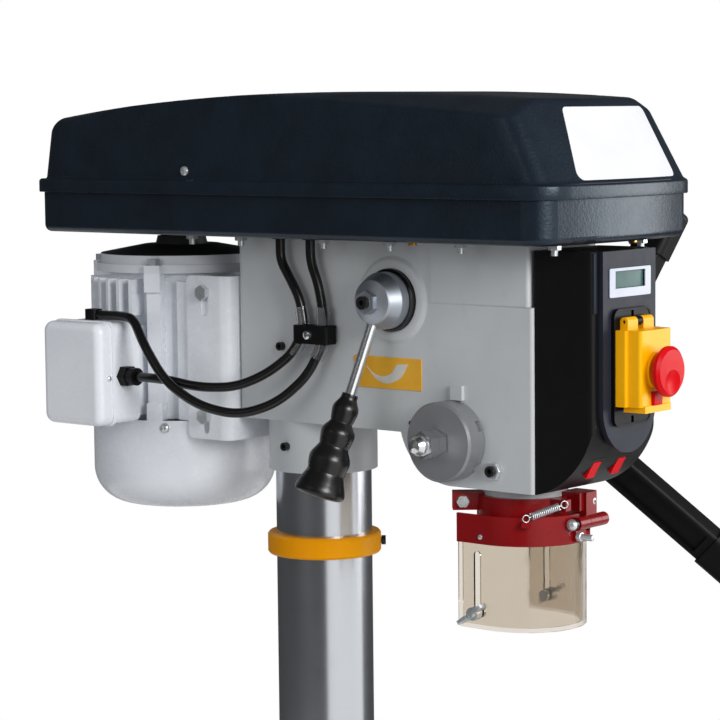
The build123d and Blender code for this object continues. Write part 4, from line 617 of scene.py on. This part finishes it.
def lid_form(p):
    """Distance outside the whole lid; the edge round the top is rounded, more so at the rear."""
    soft = 3 + 11 * np.clip((p[..., 1] - 150) / 90, 0, 1)
    return round_meet(lid_walls(p), lid_top(p), soft)


def reach_out(form, start, ahead, level=0.0):
    """Points where rays from inside a form come to a level of its distance, by halving."""
    rays = np.broadcast(start, ahead).shape[:-1]
    low, high = np.zeros(rays), np.full(rays, 460.0)
    for _ in range(48):
        middle = (low + high) / 2
        inside = form(start + ahead * middle[..., None]) < level
        low, high = np.where(inside, middle, low), np.where(inside, high, middle)
    return start + ahead * low[..., None]


def cover_rays():
    """Starts on the cover's middle line and level directions, round the plan from rear to front and back."""
    rear_x, rear_y, wide_turn = LID_HALF - REAR_TURN, LID_REAR - REAR_TURN, 24
    front_x, front_y, nose_y = LID_HALF - wide_turn, LID_NOSE + 35, LID_NOSE + 3
    rear_across, front_across = np.linspace(0, rear_x - 6, 12), np.linspace(front_x - 2, 0, 20)
    along = np.linspace(rear_y, front_y, 72)
    corner = np.linspace(0, pi / 2, 14)[1:-1]
    rear = np.stack([rear_across, np.full_like(rear_across, LID_REAR)], 1)
    rear_turn = np.stack([rear_x + REAR_TURN * np.sin(corner), rear_y + REAR_TURN * np.cos(corner)], 1)
    side = np.stack([np.full_like(along, LID_HALF), along], 1)
    front_turn = np.stack([front_x + wide_turn * np.cos(corner), front_y - wide_turn * np.sin(corner)], 1)
    front = np.stack([front_across, np.full_like(front_across, nose_y)], 1)
    half = np.concatenate([rear, rear_turn, side, front_turn, front])
    mirrored = half[-2:0:-1] * (-1, 1)
    loop = np.concatenate([half, mirrored])
    start = np.stack([0 * loop[:, 0], np.clip(loop[:, 1], -225, 165), np.full(len(loop), LIP_TOP)], 1)
    ahead = np.column_stack([loop - start[:, :2], 0 * loop[:, 0]])
    return start, unit(ahead)


def cover_shell():
    """Sheet of the lid: rows of the lip by height, then rows by the rise of rays from the middle line.

    Each row is where the rays meet the distance form; rows crowd round the top edge."""
    start, level = cover_rays()
    shape = Surface()
    turn = np.linspace(0, pi / 2, 6)
    lip = [(LIP_LOW, -0.7), (LIP_LOW + 0.25, -0.2), (LIP_LOW + 0.8, 0.0), (1017.0, 0.0)]
    lip += [(LIP_TOP - 3 + 3 * sin(a), -3 + 3 * cos(a)) for a in turn]
    rows = [reach_out(lip_walls, start + (0, 0, z - LIP_TOP), level, out) for z, out in lip]
    base = [(0.0, 1.8), (0.25, 0.9), (0.8, 0.3), (1.8, 0.0)]
    rows += [reach_out(lid_walls, start + (0, 0, rise), level, out) for rise, out in base]
    trial = np.linspace(0.03, 1.4, 160)[:, None, None]
    ahead = level * np.cos(trial) + np.array([0, 0, 1.0]) * np.sin(trial)
    hits = reach_out(lambda p: np.maximum(lid_walls(p), lid_top(p)), start, ahead)
    edge = trial[np.argmax(lid_top(hits) > lid_walls(hits), 0), 0, 0]
    lowest = np.arctan2(3.2, np.linalg.norm(rows[-1] - start, axis=1))
    spread = np.minimum(0.09, (edge - lowest) * 0.45)
    share = np.linspace(0, 1, 13)[:, None]
    wall = lowest + (edge - spread - lowest) * share
    bend = edge - spread + 2 * spread * np.linspace(0, 1, 18)[1:, None]
    crown = edge + spread + (pi / 2 - edge - spread) * np.linspace(0, 1, 26)[1:, None]
    climb = np.concatenate([wall, bend, crown])[..., None]
    rays = level * np.cos(climb) + np.array([0, 0, 1.0]) * np.sin(climb)
    sheet = reach_out(lid_form, start, rays)
    sheet[-1, :, 0] = 0
    shape.grid(np.concatenate([np.stack(rows), sheet]))
    made = shape.piece("cover_shell", "belt_cover", FINISHES["cover"], "cover_black", 40, ["belt_cover"])
    wall_sheet = made.modifiers.new("sheet", "SOLIDIFY")
    wall_sheet.thickness, wall_sheet.offset = COVER_SHEET * MM, -1.0


def cover_straps():
    """Two hinge straps on the right side of the lip: flat plates with a knuckle ring below."""
    half, height, pin_r = 6.7, 13, 2.05
    x, z = COVER_AXIS
    outline = [(-half, z), (half, z), (half, z + height), (-half, z + height)]
    strap = plate(loop_of(outline, [0.4, 0.4, 2, 2], 4), 3.3, 0.5)
    ring = lathe([(pin_r, -half), (3.6, -half), (4, -6.3), (4, 6.3), (3.6, half), (pin_r, half)], 28)
    shape = Surface()
    for y in (150.0, -220.0):
        local = placed(strap, (LIP_HALF - 0.8, y, 0), (0, 1, 0), (0, 0, 1), (1, 0, 0))
        shape.grid(local).cap(local[0]).cap(local[-1])
        shape.grid(placed(ring, (x, y, z), (1, 0, 0), (0, 0, 1), (0, 1, 0)), wrap_rows=True)
    shape.piece("cover_straps", "belt_cover", FINISHES["cover"], "cover_black")


def on_lid_front(flat, lift):
    """Points given across the lid's front and up from the lip, set on its surface and lifted off it."""
    x, rise = flat[..., 0], flat[..., 1]
    out = np.array([0, -cos(FRONT_LEAN), sin(FRONT_LEAN)])
    return np.stack([x, lid_front(x, rise), LIP_TOP + rise], -1) + out * np.asarray(lift)[..., None]


def cover_label():
    """Blank label on the lid's front: a round-cornered outline drawn in to its middle, on the bowed face."""
    loop = dense(loop_of([(-69, 2.5), (84, 2.5), (83, 64.5), (-46, 64.5)], [6, 6, 6, 6], 8))
    middle = loop.mean(0)
    share = np.linspace(1, 0, 14)
    flat = middle + (loop - middle) * share[:, None, None]
    lift = np.full(flat.shape[:2], 0.35)
    rows = np.concatenate([on_lid_front(loop, np.full(len(loop), -0.4))[None], on_lid_front(flat, lift)])
    Surface().grid(rows).piece("cover_label", "belt_cover", FINISHES["label"], None)


def pan_head(radius, height):
    """Profile of a pan-head screw, from its rim to a round recess."""
    return [(radius, 0), (radius, height * 0.35), (radius * 0.93, height * 0.7), (radius * 0.7, height * 0.93),
            (radius * 0.34, height), (radius * 0.26, height * 0.5), (0, height * 0.45)]


def screw(name, side, at, radius, height, body):
    """Pan-head screw on one side of the machine, given as on_left or on_front."""
    Surface().grid(side(lathe(pan_head(radius, height), 28), at)).piece(name, body, FINISHES["zinc"], "zinc")


cover_shell()
cover_straps()
cover_label()
screw("cover_screw", on_left, (-112.6, 69.6, 1033.5), 4.6, 3.2, "belt_cover")


# Head side


def flat_plate(name, outline, at, thickness, finish, slot):
    """Thin plate on the left side of the head, its outline given as (Y, Z) places."""
    outline = np.asarray(outline, float)
    loop = np.stack([-outline[:, 0], outline[:, 1]], 1)
    area = np.sum(loop[:, 0] * np.roll(loop[:, 1], -1) - np.roll(loop[:, 0], -1) * loop[:, 1])
    loop = loop if area > 0 else loop[::-1]
    grid = on_left(plate(loop, thickness, thickness * 0.4), (at, 0, 0))
    Surface().grid(grid).cap(grid[-1]).cap(grid[0]).piece(name, "frame", FINISHES[finish], slot)


def curve(points, count=40):
    """Smooth curve through points: each span is a cubic with slopes from its neighbours."""
    points = np.asarray(points, float)
    ends = np.concatenate([2 * points[:1] - points[1:2], points, 2 * points[-1:] - points[-2:-1]])
    slope = (ends[2:] - ends[:-2]) / 2
    place = np.linspace(0, len(points) - 1, count)
    span = np.minimum(place.astype(int), len(points) - 2)
    t = (place - span)[:, None]
    a, b, da, db = points[span], points[span + 1], slope[span], slope[span + 1]
    start = a * (2 * t ** 3 - 3 * t ** 2 + 1) + da * (t ** 3 - 2 * t ** 2 + t)
    return start + b * (3 * t ** 2 - 2 * t ** 3) + db * (t ** 3 - t ** 2)


def speed_plate():
    """Blank plate under the speed lever with a grey crescent that widens towards the front."""
    corners = loop_of([(-83.6, 835.5), (-163, 835.5), (-163, 864.5), (-83.6, 864.5)], [1.2] * 4, 4)
    flat_plate("speed_plate", corners, HEAD_SIDE + 0.2, 0.9, "plate_yellow", "yellow_plastic")
    inner = curve([(-99, 855.6), (-106, 849.5), (-116, 846.6), (-127, 849.5), (-134.6, 858.3)], 20)
    outer = curve([(-147.6, 859.2), (-141, 848.5), (-131, 842), (-120, 840.4), (-109, 844.5), (-99, 854.6)], 24)
    both = np.concatenate([inner, outer])
    flat_plate("speed_crescent", both, HEAD_SIDE - 0.5, 0.35, "plate_grey", "panel_grey")


def lever_boss():
    """Raised round boss of the casting behind the speed lever's collar."""
    profile = [(28.7, -1), (28.7, 2.4), (29.4, 3), (35.5, 3), (37.4, 2.2), (38.6, 0.6), (41, -0.3), (41, -1)]
    shape = Surface().grid(on_left(lathe(profile, 72), (HEAD_SIDE, *LEVER_AXIS)), wrap_rows=True)
    shape.piece("lever_boss", "frame", FINISHES["head"], "head_paint")


def stop_nut():
    """Lock nut round the quill set screw."""
    bore, height = 5.05, 4.2
    loop = loop_of(hexagon(15), [0.8] * 6, 3)
    hole = unit(loop) * bore
    rows = np.concatenate([plate(loop, height, 0.7), [lifted(hole, height), lifted(hole, 0)]])
    shape = Surface().grid(on_left(rows, (HEAD_SIDE - 0.2, -244, 770)), wrap_rows=True)
    shape.piece("stop_nut", "frame", FINISHES["zinc"], "zinc")


def lever_points(local):
    """Points along the speed lever carried into place: the lever points down, outwards and a little back."""
    back, over, root_x = radians(10), radians(196.7), -70.5
    x, y, z = np.moveaxis(np.asarray(local, float), -1, 0)
    side, along = x * cos(over) + z * sin(over), -x * sin(over) + z * cos(over)
    depth, height = y * cos(back) - along * sin(back), y * sin(back) + along * cos(back)
    return np.stack([side + root_x, depth + LEVER_AXIS[0], height + LEVER_AXIS[1]], -1)


def grip():
    """Moulded grip: a turned form whose radius follows a smooth curve through four bulges and a flared end."""
    marks = [(5.05, 88), (7.3, 88.4), (7.9, 93), (11.4, 99.5), (12, 104.5), (10.6, 113), (10.4, 115),
             (14.6, 121.5), (15.6, 126.5), (14.2, 135), (13.9, 138), (18, 146), (19, 151.5), (17.4, 160),
             (17.3, 163), (20.6, 171), (22.9, 177.5), (22.4, 182), (18, 184.3), (9, 185), (0, 185)]
    shape = Surface().grid(lever_points(lathe(curve(marks, 180), 64)))
    shape.piece("grip", "speed_lever", FINISHES["grip"], "black_plastic", 50, ["speed_grip"])


def radial_screw(name, at, about, radius, height, body):
    """Pan-head screw with a washer that points away from an upright axis."""
    out = unit(np.array([at[0] - about[0], at[1] - about[1], 0.0]))
    washer = 1.0
    profile = [(radius * 1.45, -washer), (radius * 1.45, 0.7), (radius * 1.3, washer), (radius, washer)]
    profile += [(r, h + washer) for r, h in pan_head(radius, height)[1:]]
    head = placed(lathe(profile, 28), at, np.cross(out, (0, 0, 1)), (0, 0, 1), out)
    Surface().grid(head).piece(name, body, FINISHES["zinc"], "zinc")


def cable_sleeves():
    """Four short clear sleeves on the two cables, above and below their clamp: open tubes on their lines."""
    routes = ([(-62, -31, 891.2), (-62, -30, 898), (-62, -28.2, 907)],
              [(-62.7, -29.4, 872.8), (-63.8, -26.3, 868), (-65.6, -22, 862)],
              [(-62, -54.9, 891.2), (-62, -55, 898), (-62.1, -54.6, 908)],
              [(-62.1, -53.6, 872.8), (-63.4, -51.6, 866), (-65.2, -48.8, 860)])
    shape = Surface()
    for route in routes:
        shape.grid(tube(curve(route, 9), 6.3, 24))
    made = shape.piece("cable_sleeves", "frame", FINISHES["sleeve"], "clear_plastic")
    sheet = made.modifiers.new("sheet", "SOLIDIFY")
    sheet.thickness, sheet.offset = 0.5 * MM, -1.0


def earth_nuts():
    """Two brass hexagon nuts under the tray."""
    shape = Surface()
    for x, y in ((-90.0, -184.0), (50.0, -322.0)):
        rows = plate(loop_of(hexagon(7), [0.5] * 6, 3), 4.0, 0.5)
        local = placed(rows, (x, y, TRAY_UNDERSIDE + 0.2), (1, 0, 0), (0, -1, 0), (0, 0, -1))
        shape.grid(local).cap(local[0]).cap(local[-1])
    shape.piece("earth_nuts", "frame", FINISHES["brass"], "zinc")


speed_plate()
lever_boss()
stop_nut()
grip()
screw("terminal_screw", on_front, (-139.0, 149.2, 835.9), 2.6, 1.8, "frame")
radial_screw("cowl_screw", (-77.4, 136.1, 783.0), (0, MOTOR_Y), 3.6, 2.6, "frame")
cable_sleeves()
earth_nuts()


# Front panel and guard


def rectangle(half, low, high, radius, per_corner):
    """Loop of (X, Z) places: a rectangle about the middle plane with round corners."""
    return loop_of([(-half, low), (half, low), (half, high), (-half, high)], [radius] * 4, per_corner)


def display_glass():
    """Display window in its pocket."""
    low, high = node_box("display_bezel")
    loop = rectangle(high[0] - 8.9, low[2] + 7.2, high[2] - 2.8, 1.0, 4)
    grid = on_front(plate(loop, 1.6, 0.3), (0, high[1] + 2.8, 0))
    shape = Surface().grid(grid).cap(grid[-1]).cap(grid[0])
    shape.piece("display_glass", "frame", FINISHES["glass"], "green_plastic")


def guard_spring():
    """Extension spring: a close helix between two end hooks, on the line from the ring to the holder."""
    start, end = np.array([-21.5, -298, 741.0]), np.array([-50.0, -277, 730.0])
    run = end - start
    ahead = unit(run)
    side = unit(np.cross(ahead, (0, 0, 1)))
    up = np.cross(side, ahead)
    coil_r, coil_wire, turns, hook_r, hook_wire = 2.9, 0.62, 21, 3.1, 0.55
    share = np.linspace(0.13, 0.87, 800)[:, None]
    turn = TAU * turns * share
    shape = Surface()
    coil = tube(start + share * run + coil_r * (np.cos(turn) * side + np.sin(turn) * up), coil_wire, 8)
    shape.grid(coil).cap(coil[0]).cap(coil[-1])
    for centre in (start, end):
        loop = np.linspace(0, TAU, 40)[:, None]
        shape.grid(tube(centre + hook_r * (np.cos(loop) * ahead + np.sin(loop) * up), hook_wire, 8))
    for near, far in ((0.07, 0.135), (0.865, 0.93)):
        link = tube(start + np.linspace(near, far, 5)[:, None] * run, hook_wire, 8)
        shape.grid(link).cap(link[0]).cap(link[-1])
    spring = shape.piece("guard_coil", "guard", FINISHES["zinc"], "zinc", 60, ["guard_spring"])
    spring.parent = None
    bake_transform(spring)


def front_frame(name, outer, inner, at, height, finish, slot):
    """Flat frame on a front face, between an outer and an inner loop of (X, Z) places with as many points."""
    levels = [(outer, 0), (outer, height), (inner, height), (inner, 0)]
    rows = np.stack([on_front(lifted(loop, z), (0, at, 0)) for loop, z in levels])
    Surface().grid(rows, wrap_rows=True).piece(name, "frame", FINISHES[finish], slot)


def block(shape, x, y, z, edge):
    """Box between bounds, its corners and its front edges rounded, added to a surface."""
    loop = loop_of([(x[0], z[0]), (x[1], z[0]), (x[1], z[1]), (x[0], z[1])], [edge] * 4, 4)
    rows = on_front(plate(loop, y[1] - y[0], edge * 0.8), (0, y[1], 0))
    shape.grid(rows).cap(rows[0]).cap(rows[-1])


def panel_trim():
    """Dark rim round the switch flange, strip on the housing's edge and the stop button's latch."""
    rim, turn = 1.9, 8
    low, high = node_box("switch_base")
    outer = rectangle(high[0], low[2], high[2], turn, 8)
    inner = rectangle(high[0] - rim, low[2] + rim, high[2] - rim, turn - rim, 8)
    front_frame("switch_rim", outer, inner, -355.3, 0.7, "black", "black_plastic")
    (left, front, _), (_, _, top) = node_box("front_housing")
    shape = Surface()
    block(shape, (left + 1.4, left + 6.4), (front - 0.8, front + 0.9), (top - 53, top - 1), 0.6)
    shape.piece("housing_strip", "frame", FINISHES["panel"], "panel_grey")
    _, front, foot = node_box("switch_lid")[0]
    shape = Surface()
    block(shape, (-8, 5), (front - 0.4, front + 3.5), (foot + 6, foot + 18), 1.0)
    shape.piece("stop_latch", "switch_lid", FINISHES["red"], "red_plastic")


def guard_fittings():
    """Zinc pieces of the guard: screw of the arm, dome on the pivot screw, stud with its nut, and a rivet."""
    dome = [(5.2, 0), (5.2, 1.2), (4.6, 2.6), (3.2, 3.6), (1.4, 4.1), (0, 4.2)]
    stud, stud_at = [(2.9, 3), (2.9, 14.6), (2.2, 15.6), (0, 15.8)], (-4.5, -300.9, 710.5)
    shape = Surface()
    shape.grid(on_front(lathe(pan_head(4.2, 3.2), 28), (21, -298, 739)))
    shape.grid(on_left(lathe(dome, 32), (-13.8, *GUARD_AXIS)))
    shape.piece("guard_screws", "frame", FINISHES["zinc"], "zinc")
    shape = Surface()
    nut = on_front(plate(loop_of(hexagon(8), [0.5] * 6, 3), 4.2, 0.6), stud_at)
    shape.grid(nut).cap(nut[0]).cap(nut[-1])
    shape.grid(on_front(lathe(stud, 28), stud_at))
    shape.grid(on_left(lathe(pan_head(2.3, 1.5), 24), (-57.9, -232.5, 710.5)))
    shape.piece("guard_studs", "guard", FINISHES["zinc"], "zinc")


display_glass()
guard_spring()
panel_trim()
guard_fittings()


# Camera, light and floor


def set_camera():
    """Camera where the photograph was taken from: place, view direction and roll, with its focal length."""
    right = Vector((0.6414104, -0.76712716, -0.0104221))
    down = Vector((-0.08176095, -0.05484209, -0.99514195))
    ahead = Vector((0.76282884, 0.63914652, -0.09789733))
    focal_px, picture_px = 2556.44, 720
    data = bpy.data.cameras.new("photo_camera")
    data.sensor_width = 36.0
    data.lens = data.sensor_width * focal_px / picture_px
    data.clip_start, data.clip_end = 0.1, 50
    camera = bpy.data.objects.new("photo_camera", data)
    turn = Matrix((right, -down, -ahead)).transposed().to_4x4()
    camera.matrix_world = Matrix.Translation((-1.8441155, -1.5919815, 1.09)) @ turn
    bpy.context.scene.collection.objects.link(camera)
    bpy.context.scene.camera = camera


def area_light(name, place, target, size, power):
    """Soft rectangular lamp at a place, facing a target."""
    data = bpy.data.lights.new(name, "AREA")
    data.shape, data.size, data.size_y, data.energy = "RECTANGLE", size[0], size[1], power
    lamp = bpy.data.objects.new(name, data)
    turn = (Vector(target) - Vector(place)).to_track_quat("-Z", "Y").to_matrix().to_4x4()
    lamp.matrix_world = Matrix.Translation(place) @ turn
    bpy.context.scene.collection.objects.link(lamp)


def set_world():
    """White to the camera, in reflections and through clear sheet; a softer grey as light."""
    world = bpy.data.worlds.new("studio")
    bpy.context.scene.world = world
    world.use_nodes = True
    tree = world.node_tree
    soft, output = tree.nodes["Background"], tree.nodes["World Output"]
    soft.inputs["Color"].default_value, soft.inputs["Strength"].default_value = (0.95, 0.97, 1.0, 1), 0.28
    white = tree.nodes.new("ShaderNodeBackground")
    white.inputs["Color"].default_value = (1, 1, 1, 1)
    path, mix = tree.nodes.new("ShaderNodeLightPath"), tree.nodes.new("ShaderNodeMixShader")
    first, second = tree.nodes.new("ShaderNodeMath"), tree.nodes.new("ShaderNodeMath")
    first.operation = second.operation = "MAXIMUM"
    tree.links.new(path.outputs["Is Camera Ray"], first.inputs[0])
    tree.links.new(path.outputs["Is Glossy Ray"], first.inputs[1])
    tree.links.new(first.outputs[0], second.inputs[0])
    tree.links.new(path.outputs["Is Transmission Ray"], second.inputs[1])
    tree.links.new(second.outputs[0], mix.inputs[0])
    tree.links.new(soft.outputs[0], mix.inputs[1])
    tree.links.new(white.outputs[0], mix.inputs[2])
    tree.links.new(mix.outputs[0], output.inputs["Surface"])


def set_floor():
    """Pale disc under the base that fades out into the background."""
    made = Finish("floor", Base_Color=(0.86, 0.86, 0.86, 1), Roughness=0.85)
    share = made.reach(0, 0.0, 1, -100.0).between(700, 1500)
    clear_out = made.tree.nodes.new("ShaderNodeBsdfTransparent")
    mix = made.tree.nodes.new("ShaderNodeMixShader")
    made.tree.links.new(share.socket, mix.inputs[0])
    made.tree.links.new(made.shader.outputs[0], mix.inputs[1])
    made.tree.links.new(clear_out.outputs[0], mix.inputs[2])
    made.tree.links.new(mix.outputs[0], made.tree.nodes["Material Output"].inputs["Surface"])
    radius, centre_y, count = 1.6, -0.1, 96
    turn = np.arange(count) * TAU / count
    rim = np.stack([radius * np.cos(turn), radius * np.sin(turn) + centre_y, 0 * turn], 1)
    mesh = bpy.data.meshes.new("floor")
    mesh.from_pydata(rim.tolist(), [], [list(range(count))])
    mesh.materials.append(made.material)
    floor = bpy.data.objects.new("floor", mesh)
    bpy.context.scene.collection.objects.link(floor)


def dark_wall():
    """Dark curved wall and ceiling that only reflections see; the wall is open towards the front."""
    made = Finish("dark_wall", Base_Color=(0.12, 0.12, 0.122, 1), Roughness=0.9, Specular_IOR_Level=0.0)
    count, wall_r, ceiling_r, centre_y = 64, 2.7, 2.8, -0.1
    low, high, ceiling = -0.5, 2.7, 2.72
    turn = np.radians(np.linspace(52, 313, count))
    points = [(wall_r * sin(a), centre_y - wall_r * cos(a), z) for a in turn for z in (low, high)]
    around = np.arange(count) * TAU / count
    points += [(ceiling_r * sin(a), centre_y - ceiling_r * cos(a), ceiling) for a in around]
    faces = [[2 * k, 2 * k + 1, 2 * k + 3, 2 * k + 2] for k in range(count - 1)]
    faces.append(list(range(2 * count, 3 * count)))
    mesh = bpy.data.meshes.new("dark_wall")
    mesh.from_pydata(points, [], faces)
    mesh.materials.append(made.material)
    wall = bpy.data.objects.new("dark_wall", mesh)
    bpy.context.scene.collection.objects.link(wall)
    wall.visible_camera = wall.visible_diffuse = wall.visible_shadow = wall.visible_transmission = False


set_camera()
set_world()
set_floor()
area_light("key_light", (-0.8, -3.0, 1.9), (0, -0.05, 0.85), (1.5, 1.3), 80)
area_light("right_light", (1.9, -1.7, 1.1), (0, -0.3, 0.95), (1.2, 1.3), 28)
area_light("left_light", (-2.8, 0.1, 1.5), (0, 0, 0.85), (1.4, 1.4), 13)
area_light("top_light", (0, 0.2, 2.9), (0, 0, 0.9), (2.0, 2.0), 6)
dark_wall()
bpy.context.scene.view_settings.view_transform = "Standard"
